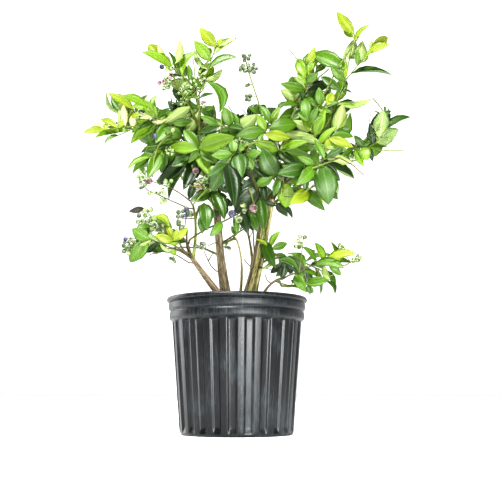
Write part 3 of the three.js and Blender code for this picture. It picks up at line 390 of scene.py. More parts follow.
     [(1, (152, -6, 744), 0.39, 0), (0.79, (120, 33, 736), 0.41, 1), (0.89, (153, 3, 722), 0.44, 1),
      (0.76, (160, 27, 727), 0.26, 0), (0.7, (159, 8, 697), 0.55, 2), (0.67, (118, 23, 701), 0.41, 1),
      (0.56, (111, 5, 687), 0.42, 1, "under"), (0.56, (162, 30, 693), 0.5, 1, "under"),
      (0.57, (83, -1, 671), 0.37, 2), (0.3, (85, 34, 670), 0.62, 1, "under"),
      (0.34, (123, 14, 671), 0.4, 3), (0.5, (184, 39, 684), 0.34, 4), (0.23, (81, 3, 625), 0.28, 2),
      (0.34, (157, 33, 664), 0.43, 2), (0.12, (81, 9, 604), 0.4, 2), (0.24, (139, 32, 622), 0.45, 2)]),
    ("upper_mid_spur", "upper_mid_stem", 0.84, 1.1, 0.75, [(129, 21, 715), (102, 26, 753)], []),
    ("upper_mid_right", "upper_mid_stem", 0.24, 1.1, 0.75, [(141, 7, 624), (160, -7, 621), (176, -22, 620)],
     [(0.71, (157, -25, 655), 0.53, 2), (0.92, (184, -12, 649), 0.61, 0), (0.77, (195, -22, 625), 0.31, 2),
      (0.42, (166, 10, 607), 0.44, 2), (0.6, (137, -9, 639), 0.45, 2), (0.26, (100, 18, 602), 0.42, 2),
      (0.5, (183, -9, 609), 0.35, 1)]),
    ("top_right_stem", "bough_right_leader", 1, 2.1, 0.75,
     [(186, 3, 614), (198, 2, 647), (210, 1, 677), (216, 1, 705), (221, 0, 730), (228, -1, 758),
      (230, -2, 771)],
     [(1, (194, -16, 813), 0.39, 0), (0.93, (210, 8, 786), 0.4, 1), (0.85, (260, -22, 784), 0.21, 0),
      (0.66, (233, 13, 770), 0.49, 1, "under"), (0.58, (210, -13, 735), 0.25, 1, "under"),
      (0.54, (147, 36, 746), 0.34, 2), (0.43, (180, -18, 702), 0.43, 2), (0.5, (199, 11, 729), 0.42, 1),
      (0.42, (217, -6, 703), 0.28, 0), (0.33, (164, 13, 690), 0.38, 3), (0.34, (223, -3, 651), 0.22, 4),
      (0.23, (264, 19, 647), 0.23, 1, "under"), (0.2, (228, -4, 624), 0.18, 1),
      (0.28, (209, 18, 690), 0.47, 2), (0.11, (183, -7, 625), 0.41, 3)]),
    ("top_right_side", "top_right_stem", 0.43, 1.1, 0.75,
     [(221, -6, 689), (232, -12, 702), (245, -19, 714), (256, -26, 728)],
     [(0.51, (233, -22, 732), 0.36, 2), (0.6, (246, 1, 760), 0.53, 1, "under"),
      (0.9, (292, -42, 734), 0.3, 0), (0.98, (293, -16, 760), 0.42, 0),
      (0.93, (258, -34, 748), 0.29, 1, "under"), (0.26, (304, 11, 693), 0.12, 3),
      (0.76, (264, -30, 730), 0.28, 1)]),
    ("right_reach_stem", "bough_right_reach", 1, 1.5, 0.75,
     [(238, 40, 553), (261, 38, 554), (277, 36, 566), (291, 34, 586)],
     [(0.79, (285, 14, 622), 0.59, 2, "under"), (1, (344, 42, 617), 0.16, 3),
      (0.58, (259, 28, 598), 0.35, 4), (0.35, (269, 51, 584), 0.39, 3), (0.37, (229, 31, 576), 0.46, 3),
      (0.27, (299, 62, 562), 0.27, 2), (0.33, (254, 27, 523), 0.76, 1), (0.5, (267, 46, 527), 0.37, 4),
      (0.13, (247, 30, 512), 0.38, 1), (0.69, (323, 59, 598), 0.56, 2, "under"),
      (0.09, (202, 31, 531), 0.41, 2), (0.29, (222, 46, 532), 0.4, 2)]),
    ("right_straw", "right_reach_stem", 0.5, 1.3, 0.9,
     [(281, 39, 546), (305, 39, 548), (327, 40, 547)], []),
    ("right_bare", "right_front_twig", 0.99, 1.1, 0.75,
     [(185, -115, 489), (207, -113, 478), (228, -110, 459)], []),
    ("low_left_stem", "cane_left", 0.99, 2.6, 0.75,
     [(-97, -40, 330), (-110, -45, 335), (-126, -49, 340), (-141, -54, 346), (-162, -58, 353)],
     [(0.97, (-191, -66, 370), 0.67, 2), (1, (-196, -46, 311), 0.55, 2),
      (0.81, (-162, -66, 359), 0.42, 2, "under"), (0.81, (-166, -42, 330), 0.36, 4),
      (0.8, (-117, -61, 327), 0.26, 2, "under"), (0.89, (-164, -46, 335), 0.41, 2, "under"),
      (0.94, (-176, -68, 339), 0.39, 1, "under")]),
    ("low_left_bright", "cane_left", 0.98, 2.8, 0.9,
     [(-90, -43, 323), (-99, -51, 335), (-107, -58, 349), (-116, -66, 347)],
     [(0.96, (-147, -79, 357), 0.48, 0), (0.92, (-129, -55, 379), 0.35, 0),
      (0.97, (-107, -73, 370), 0.39, 0), (0.95, (-90, -56, 374), 0.38, 0),
      (0.68, (-124, -60, 342), 0.38, 1)]),
    ("low_left_arch", "low_left_bright", 0.99, 1.1, 0.75, [(-122, -59, 364), (-125, -52, 380)],
     [(0.75, (-153, -75, 391), 0.33, 0, "bent_right")]),
    ("low_left_fork", "cane_left", 0.96, 2.8, 1.6, [(-91, -34, 336), (-94, -32, 355), (-93, -30, 375)], []),
    ("low_left_bare", "cane_left", 0.87, 1.2, 0.75,
     [(-94, -36, 313), (-103, -37, 323), (-112, -39, 326), (-123, -40, 330), (-138, -41, 332),
      (-151, -43, 330), (-161, -44, 325)],
     [(0.44, (-121, -46, 339), 0.7, 1), (0.66, (-154, -32, 346), 0.51, 2),
      (0.78, (-162, -51, 332), 0.3, 4)]),
    ("rise_stem", "bough_left_rise", 1, 1.6, 0.75,
     [(-87, -44, 427), (-100, -45, 437), (-113, -45, 446), (-125, -45, 452), (-141, -46, 458),
      (-166, -46, 466)],
     [(0.2, (-76, -57, 466), 0.36, 4), (0.84, (-150, -40, 469), 0.4, 2)]),
    ("rise_low", "bough_left_rise", 0.94, 1.3, 0.75,
     [(-92, -46, 413), (-105, -48, 419), (-120, -50, 425), (-131, -52, 430), (-144, -54, 436),
      (-160, -56, 442), (-169, -58, 446), (-173, -60, 453)], []),
    ("rise_side_berries", "bough_left_rise", 0.76, 1.1, 0.75, [(-90, -50, 392), (-103, -56, 392)], []),
    ("rise_drop", "rise_side_berries", 0.64, 1.1, 0.75, [(-94, -55, 383), (-95, -58, 375)], []),
    ("rise_leaf", "bough_left_rise", 0.8, 1.1, 0.75, [(-68, -55, 415), (-60, -66, 418)],
     [(1, (-53, -89, 362), 0.44, 3)]),
    ("berry_arm_twig", "cane_left", 1, 2.2, 1.2,
     [(-92, -44, 350), (-75, -51, 361), (-54, -59, 372), (-23, -67, 384), (2, -74, 396), (24, -82, 405)],
     [(0.65, (-49, -75, 354), 0.46, 2), (0.78, (0, -62, 360), 0.34, 2), (0.88, (20, -88, 356), 0.46, 4)]),
    ("wilted_twig", "low_left_bright", 0.99, 1.1, 0.75,
     [(-134, -64, 372), (-159, -62, 395), (-170, -60, 410)],
     [(1, (-197, -68, 402), 0.41, 5)]),
    ("low_right_stem", "cane_low", 1, 1.6, 0.75,
     [(100, -30, 292), (115, -31, 294), (126, -32, 301), (140, -34, 308), (153, -36, 313), (179, -37, 304),
      (199, -38, 306), (212, -40, 315)],
     [(0.19, (126, -44, 257), 0.52, 2), (0.33, (158, -22, 282), 0.22, 2),
      (0.24, (74, -45, 315), 0.3, 3, "bent_right"), (0.38, (91, -22, 331), 0.26, 2, "bent_right"),
      (0.56, (119, -55, 339), 0.21, 2), (0.66, (145, -25, 352), 0.3, 1), (0.66, (218, -56, 326), 0.24, 0),
      (0.62, (214, -15, 315), 0.24, 2), (0.49, (196, -61, 298), 0.216, 2), (0.7, (193, -28, 290), 0.43, 2),
      (0.66, (169, -52, 278), 0.31, 1, "under"), (0.79, (175, -22, 355), 0.24, 1),
      (0.15, (84, -40, 313), 0.4, 4)]),
    ("low_right_under_stem", "cane_low", 0.73, 1.2, 0.75,
     [(91, -23, 272), (111, -23, 272), (128, -23, 274), (145, -22, 280), (165, -22, 280)],
     [(0.57, (173, -40, 282), 0.36, 2), (0.65, (136, -19, 255), 0.42, 3),
      (0.97, (180, -32, 254), 0.28, 3, "bent_left"), (0.41, (124, -17, 298), 0.5, 2),
      (0.49, (129, -26, 258), 0.4, 2)]),
    ("olive_twig", "cane_olive", 0.67, 1.3, 0.75,
     [(54, -21, 351), (65, -28, 337), (80, -34, 316), (90, -40, 305)],
     [(0.43, (80, -41, 370), 0.28, 1), (0.47, (94, -19, 351), 0.44, 2), (0.38, (32, -34, 357), 0.29, 0),
      (0.45, (40, -17, 348), 0.25, 3), (0.08, (71, -38, 301), 0.36, 3), (0.86, (62, -28, 294), 0.44, 4),
      (0.94, (82, -48, 278), 0.51, 4), (0.61, (95, -22, 320), 0.23, 3), (1, (113, -52, 287), 0.24, 4),
      (0.62, (43, -27, 300), 0.19, 2, "under")]),
    ("olive_leaf_twig", "cane_olive", 0.95, 1.1, 0.75, [(47, -39, 430), (41, -56, 430)],
     [(0.89, (50, -72, 368), 0.39, 3), (0.41, (74, -29, 421), 0.37, 4)]),
    ("olive_low_leaf", "cane_olive", 0.84, 1.1, 0.75, [(35, -41, 403), (22, -62, 404)],
     [(1, (38, -74, 362), 0.44, 3), (0.62, (36, -37, 383), 0.3, 4)]),
    ("yellow_hang", "cane_yellow", 0.96, 1.2, 0.75, [(72, -5, 433), (79, -12, 428)],
     [(0.65, (95, -18, 402), 0.48, 4), (1, (105, 1, 403), 0.2, 4)]),
    ("main_hang", "cane_main", 0.95, 1.2, 0.75, [(-44, -17, 435), (-47, -40, 449)],
     [(0.97, (-22, -63, 387), 0.33, 3), (0.74, (-19, -16, 441), 0.42, 4),
      (0.96, (-87, -53, 424), 0.45, 3)]),
    ("thin_hook", "cane_thin", 0.95, 1.1, 0.75,
     [(-3, 21, 368), (-8, 20, 369), (-22, 19, 365), (-28, 18, 362)], []),
    ("thin_hook_right", "thin_hook", 0.51, 1.1, 0.75, [(-5, 18, 376), (5, 16, 381)],
     [(0.37, (-11, 12, 391), 0.4, 3)]),
    ("trunk_arc", "cane_main", 0.39, 1.1, 0.75,
     [(-39, -4, 301), (-47, -8, 306), (-54, -13, 320), (-60, -17, 329), (-61, -22, 338),
      (-58, -26, 345)], []),
    ("trunk_arc_fork", "trunk_arc", 0.49, 1.1, 0.75, [(-48, -21, 327), (-44, -30, 332)], []),
    ("trunk_side", "cane_main", 0.68, 1.1, 0.75, [(-44, -6, 354), (-53, -14, 348), (-60, -22, 348)], []),
    ("brown_twin", "cane_brown", 0.47, 1.5, 1.2,
     [(29, 12, 328), (28, 14, 344), (23, 17, 364), (21, 19, 384), (20, 22, 396)], []),
    ("brown_twin_right", "cane_brown", 0.49, 1.5, 1.2,
     [(33, 11, 328), (32, 12, 344), (31, 13, 363), (30, 14, 387)], []),
    ("brown_spur", "cane_brown", 0.45, 1.1, 0.75, [(24, 6, 311), (18, 3, 318), (12, 0, 325)], []),
    ("olive_reach", "cane_olive", 0.42, 1.2, 0.75, [(47, -20, 305), (58, -28, 302), (72, -36, 295)], []),
    ("low_spur_left", "cane_low", 0.61, 1.1, 0.75, [(61, -23, 274), (54, -25, 283), (52, -26, 292)], []),
    ("spire_stem", "bough_inner", 1, 1.8, 1,
     [(48, 16, 598), (42, 15, 635), (32, 15, 666), (24, 15, 692), (18, 14, 713), (14, 14, 734)],
     [(0.24, (21, 7, 628), 0.37, 2), (0.21, (57, 22, 623), 0.35, 2)]),
    ("spire_second", "bough_inner", 1, 1.1, 0.75, [(5, 21, 588), (-11, 25, 622), (-19, 30, 636)], []),
    ("low_mid_spur", "low_right_stem", 0.25, 1.1, 0.75, [(119, -30, 322), (123, -30, 356)], []),
    ("low_mid_spur_b", "low_right_stem", 0.62, 1.1, 0.75, [(151, -35, 299), (149, -34, 282)], []),
    ("low_right_spur", "low_right_stem", 0.88, 1.1, 0.75, [(212, -41, 315), (230, -44, 323)], []),
    ("right_hook", "right_reach_stem", 1, 1.4, 1.1,
     [(296, 33, 600), (292, 32, 619), (282, 31, 635), (268, 30, 652)], []),
]

# Racemes: what it hangs on, the share along it, middle, berries, spread, berry radius, and
# the tones its berries are dealt from, a letter for each.
BERRY_CODES = {"g": "green", "d": "dull", "p": "pink", "b": "blue"}
RACEMES = [
    ("top_left_side_stem", 0.97, (-146, -24, 696), 1, 2, 5.0, "b"),
    ("top_left_raceme", 1.00, (-137, -30, 661), 11, 13, 4.1, "ggggggggp"),
    ("top_left_side_stem", 0.75, (-130, -24, 690), 4, 7, 3.9, "g"),
    ("top_left_raceme", 0.41, (-104, -26, 649), 7, 12, 3.5, "g"),
    ("top_left_stem", 0.44, (-72, 0, 687), 7, 11, 3.5, "g"),
    ("top_left_stem", 0.30, (-79, -6, 664), 8, 13, 3.5, "g"),
    ("top_left_side_stem", 0.12, (-105, -20, 629), 5, 9, 3.3, "g"),
    ("top_left_stem", 0.09, (-67, -4, 628), 3, 6, 3.5, "gp"),
    ("bough_left_leader", 0.91, (-58, -20, 585), 1, 2, 7.8, "p"),
    ("left_long", 0.24, (-154, -30, 556), 2, 4, 5.2, "b"),
    ("spire_stem", 0.98, (16, 12, 731), 7, 9, 4.3, "d"),
    ("spire_stem", 0.80, (14, 12, 706), 9, 12, 4.3, "d"),
    ("spire_stem", 0.80, (33, 12, 712), 5, 7, 4.3, "d"),
    ("spire_stem", 0.71, (34, 12, 700), 2, 4, 4.1, "d"),
    ("spire_stem", 0.56, (20, 12, 671), 4, 6, 4.1, "d"),
    ("spire_stem", 0.42, (22, 12, 646), 5, 8, 4.3, "d"),
    ("left_low", 0.52, (-125, -48, 520), 7, 9, 3.7, "g"),
    ("rise_stem", 1.00, (-169, -50, 469), 11, 15, 3.7, "ggggp"),
    ("rise_stem", 0.98, (-163, -56, 462), 1, 2, 7.1, "p"),
    ("rise_stem", 0.73, (-128, -50, 461), 3, 7, 4.8, "g"),
    ("rise_low", 0.97, (-175, -60, 450), 5, 7, 3.7, "d"),
    ("rise_low", 0.74, (-158, -60, 440), 4, 7, 3.7, "g"),
    ("rise_low", 0.61, (-140, -60, 440), 4, 7, 3.9, "g"),
    ("rise_low", 0.53, (-136, -60, 423), 4, 6, 3.5, "g"),
    ("left_front", 0.00, (-76, -60, 480), 1, 2, 6.7, "p"),
    ("left_front", 0.00, (-44, -60, 484), 1, 2, 6.1, "g"),
    ("main_hang", 1.00, (-63, -52, 457), 14, 17, 4.8, "ggggp"),
    ("bough_left_leader", 0.30, (-70, -64, 450), 1, 2, 7.1, "p"),
    ("berry_arm_twig", 0.93, (12, -84, 407), 4, 7, 4.8, "g"),
    ("berry_arm_twig", 1.00, (30, -92, 403), 1, 2, 8.2, "p"),
    ("berry_arm_twig", 0.78, (-8, -90, 393), 1, 2, 7.4, "b"),
    ("berry_arm_twig", 0.82, (4, -92, 383), 1, 2, 7.3, "g"),
    ("rise_side_berries", 0.68, (-93, -56, 403), 7, 9, 4.5, "dddb"),
    ("rise_side_berries", 1.00, (-106, -56, 398), 4, 7, 4.7, "d"),
    ("rise_side_berries", 0.28, (-84, -56, 398), 3, 6, 4.1, "d"),
    ("rise_drop", 0.87, (-104, -58, 379), 6, 9, 5.2, "d"),
    ("wilted_twig", 0.78, (-163, -60, 401), 4, 8, 4.3, "dg"),
    ("wilted_twig", 0.56, (-155, -58, 384), 6, 10, 4.7, "gdg"),
    ("wilted_twig", 0.38, (-141, -58, 373), 6, 11, 4.8, "ddg"),
    ("wilted_twig", 0.70, (-175, -62, 385), 5, 7, 4.7, "gdg"),
    ("wilted_twig", 0.92, (-177, -62, 398), 2, 4, 4.1, "d"),
    ("wilted_twig", 0.45, (-155, -58, 367), 3, 7, 4.3, "d"),
    ("low_left_stem", 1.00, (-203, -64, 353), 2, 4, 4.1, "b"),
    ("low_left_stem", 1.00, (-202, -64, 344), 2, 4, 3.9, "d"),
    ("low_left_stem", 1.00, (-190, -64, 348), 4, 6, 3.9, "d"),
    ("low_left_stem", 1.00, (-199, -64, 333), 7, 9, 4.3, "gd"),
    ("low_left_bare", 0.47, (-119, -40, 315), 3, 7, 3.9, "d"),
    ("bough_left_rise", 0.25, (-68, -46, 342), 6, 10, 3.9, "d"),
    ("cane_main", 0.64, (-19, -14, 347), 4, 7, 3.7, "d"),
    ("low_mid_spur", 1.00, (123, -30, 361), 5, 6, 4.7, "dg"),
    ("low_mid_spur", 0.84, (115, -30, 346), 8, 10, 4.5, "gdg"),
    ("low_right_stem", 0.59, (140, -42, 333), 3, 5, 4.1, "d"),
    ("low_right_stem", 0.97, (192, -44, 338), 4, 8, 3.2, "g"),
    ("low_right_spur", 0.74, (220, -46, 317), 8, 10, 3.7, "dg"),
    ("bough_inner", 0.82, (-57, -30, 554), 4, 7, 3.7, "d"),
    ("centre_back_twig", 0.26, (6, -60, 537), 5, 9, 3.7, "g"),
    ("centre_cross_low", 0.58, (73, -56, 533), 2, 5, 4.1, "d"),
    ("right_reach_stem", 0.01, (224, 30, 532), 4, 8, 3.0, "g"),
]

# Masses whose outline is made by the shoots above; what else grows there stays behind them.
OUTER = ("top_left", "top_left_side", "left_reach", "left_fruit", "low_left", "low_left_upper", "rise_side",
         "berry_arm", "fruit_spire", "trunk_leaves", "top_right", "right_reach", "low_right",
         "low_right_under", "low_right_inner", "thin_top", "twin_left")

# Shoots old enough to have turned brown.
BROWN_SHOOTS = ("low_left_stem", "low_left_bright", "low_left_fork", "low_left_bare", "rise_stem",
                "rise_low", "rise_side_berries", "rise_drop", "wilted_twig", "trunk_arc", "trunk_arc_fork",
                "trunk_side", "thin_hook", "thin_hook_right", "brown_twin", "brown_twin_right",
                "brown_spur", "olive_reach", "low_spur_left", "low_right_under_stem", "low_right_stem",
                "right_bare", "spire_second", "berry_arm_twig")

# The dense part of the crown as seen from the front, across and up: sky shows outside it.
CROWN_OUTLINE = np.array((
    (-243, 571), (-212, 597), (-233, 638), (-190, 644), (-155, 621), (-135, 615), (-112, 634),
    (-101, 654), (-113, 691), (-89, 707), (-66, 699), (-58, 670), (-67, 630), (-46, 599),
    (-22, 613), (-3, 595), (24, 611), (48, 624), (71, 619), (90, 638), (91, 662), (118, 683),
    (122, 711), (146, 715), (166, 720), (193, 720), (212, 691), (200, 650), (188, 626), (183, 593),
    (218, 573), (252, 561), (277, 609), (295, 577), (263, 537), (240, 517), (209, 509), (220, 486),
    (191, 478), (177, 438), (154, 466), (135, 466), (120, 446), (74, 438), (59, 482), (55, 388),
    (36, 392), (24, 427), (11, 478), (-3, 435), (-22, 446), (-29, 415), (-44, 388), (-63, 392),
    (-71, 431), (-94, 446), (-136, 454), (-160, 493), (-191, 517), (-180, 549),
))

# ---------------------------------------------------------------- growth


def unit(v):
    return v / math.sqrt(v @ v)


def away(v, axis):
    """The direction square to an axis that is nearest to v."""
    return unit(v - axis * (v @ axis))


def cross(a, b):
    return np.array((a[1] * b[2] - a[2] * b[1], a[2] * b[0] - a[0] * b[2], a[0] * b[1] - a[1] * b[0]))


def dice(seed):
    """Seeded chance, the same for every run."""
    state = seed
    mask = 0xFFFFFFFF

    def roll():
        nonlocal state
        state = (state + 0x6D2B79F5) & mask
        t = ((state ^ (state >> 15)) * (1 | state)) & mask
        t = ((t + ((t ^ (t >> 7)) * (61 | t))) & mask) ^ t
        return ((t ^ (t >> 14)) & mask) / 4294967296

    return roll


def curve(start, by, to, steps):
    """Points on the curve that passes "by" at its middle."""
    start, by, to = (np.array(p, float) for p in (start, by, to))
    pull = 2 * by - (start + to) / 2
    t = np.linspace(0, 1, steps + 1)[:, None]
    return (1 - t) ** 2 * start + 2 * t * (1 - t) * pull + t ** 2 * to


def along(line, share):
    """The point at a share of the line's steps."""
    place = min(max(share, 0), 1) * (len(line) - 1)
    i = min(int(place), len(line) - 2)
    return line[i] + (line[i + 1] - line[i]) * (place - i)


def heading(line, share):
    """The direction of the line at a share of its steps."""
    place = min(max(share, 0), 1) * (len(line) - 1)
    i = min(int(place), len(line) - 2)
    return unit(line[i + 1] - line[i])


def gaps(points, line_starts, line_ends):
    """Distance from every point to every straight piece, and where along it."""
    run = line_ends - line_starts
    offset = points[:, None] - line_starts[None]
    t = np.clip((offset * run).sum(2) / (run * run).sum(1), 0, 1)
    return np.linalg.norm(offset - t[:, :, None] * run, axis=2), t


def grow_limbs(steps):
    """Points and radii of every cane and bough, and the coarse line that the rest grows on."""
    limbs = {}
    for name, root, by, to, thick, thin in LIMBS:
        on_soil = not isinstance(root[0], str)
        start = (*root, SOIL_TOP + GAP) if on_soil else along(limbs[root[0]]["coarse"], root[1])
        line = curve(start, by, to, steps)
        rise = line[:, 2] - SOIL_TOP
        flare = FLARE_SHARE * np.exp(-rise / FLARE_HEIGHT) if on_soil else 0
        radii = np.linspace(thick, thin, steps + 1) * (1 + flare)
        limbs[name] = {"line": line, "radii": radii, "coarse": curve(start, by, to, STEM_STEPS)}
    return limbs


class Room:
    """Where foliage may be: in its own mass's space, off the limbs and outside the pot."""

    def __init__(self, plans, limbs):
        self.reach = np.array([plan["reach"] for plan in plans], float)
        self.stem_starts = np.concatenate([plan["line"][:-1] for plan in plans])
        self.stem_ends = np.concatenate([plan["line"][1:] for plan in plans])
        lines = [limb["line"] for limb in limbs.values()]
        radii = [limb["radii"] for limb in limbs.values()]
        self.limb_starts = np.concatenate([line[:-1] for line in lines])
        self.limb_ends = np.concatenate([line[1:] for line in lines])
        self.start_radii = np.concatenate([radius[:-1] for radius in radii])
        self.end_radii = np.concatenate([radius[1:] for radius in radii])

    def free(self, own, points, margin):
        """Whether all points lie in a mass's own space with a margin round the limbs."""
        points = np.asarray(points, float).reshape(-1, 3)
        distance, _ = gaps(points, self.stem_starts, self.stem_ends)
        distance = distance.reshape(len(points), -1, STEM_STEPS).min(2)
        mine = distance[:, own]
        theirs = (distance - SPACE_MARGIN) / self.reach
        theirs[:, own] = 1e9
        share = (mine + SPACE_MARGIN) / self.reach[own]
        if (mine > self.reach[own]).any() or (theirs < share[:, None]).any():
            return False
        distance, t = gaps(points, self.limb_starts, self.limb_ends)
        thick = self.start_radii + (self.end_radii - self.start_radii) * t
        if (distance < thick + margin).any():
            return False
        out = np.hypot(points[:, 0], points[:, 1])
        high = points[:, 2] > POT_HEIGHT + POT_MARGIN
        return bool((high | (out > LIP_RADIUS + POT_MARGIN)).all())


def leaf_points(root, way, face, length):
    """Root, left low, left high, tip, right high and right low corner of a blade."""
    half = length * LEAF_WIDTH / 2
    side = cross(way, face)

    def corner(share, width):
        return root + way * length * share + side * half * width + face * half * abs(width) * LEAF_FOLD

    return np.array((root, corner(0.32, -1), corner(0.7, -0.8), root + way * length,
                     corner(0.7, 0.8), corner(0.32, 1)))


def leaf_samples(p):
    """Corners and inner points of a blade, for judging where it lies."""
    mid = p[0] + (p[3] - p[0]) * np.array((0.5, 0.3, 0.75))[:, None]
    return np.concatenate((p[1:], mid, ((p[1] + p[2]) / 2, (p[4] + p[5]) / 2)))


BLADE_TRIANGLES = np.array(((0, 1, 3), (1, 2, 3), (0, 3, 5), (3, 4, 5)))
BLADE_EDGES = np.array(((0, 1), (1, 2), (2, 3), (3, 4), (4, 5), (5, 0), (0, 3)))


def pierced(starts, ends, triangles):
    """Whether any straight piece passes through any triangle."""
    if not len(starts) or not len(triangles):
        return False
    run = (ends - starts)[:, None]
    corner = triangles[None, :, 0]
    edge1 = (triangles[:, 1] - triangles[:, 0])[None]
    edge2 = (triangles[:, 2] - triangles[:, 0])[None]
    h = np.cross(run, edge2)
    det = (edge1 * h).sum(2)
    det = np.where(np.abs(det) < 1e-9, np.inf, det)
    s = starts[:, None] - corner
    u = (s * h).sum(2) / det
    q = np.cross(s, edge1)
    v = (run * q).sum(2) / det
    t = (edge2 * q).sum(2) / det
    hit = (u >= 0) & (u <= 1) & (v >= 0) & (u + v <= 1) & (t >= 0) & (t <= 1)
    return bool((hit & np.isfinite(det)).any())


def leaf_way(axis, angle, splay, lift):
    """A direction splayed out from an axis, turned round it and lifted."""
    level = np.array((0, 0, 1.0) if abs(axis[2]) < 0.9 else (1.0, 0, 0))
    side = away(level, axis)
    up = cross(axis, side)
    out = side * math.cos(angle) + up * math.sin(angle)
    return unit(axis * math.cos(splay) + out * math.sin(splay) + np.array((0, 0, lift)))


def leaf_face(root, way, roll):
    """Blades turn their faces up and outwards from the middle of the bush."""
    light = unit(np.array((root[0] / LIGHT_REACH, root[1] / LIGHT_REACH - LIGHT_FRONT, 0.8)))
    face = away(light if abs(light @ way) < 0.97 else np.array((0, -1.0, 0)), way)
    return face * math.cos(roll) + cross(way, face) * math.sin(roll)


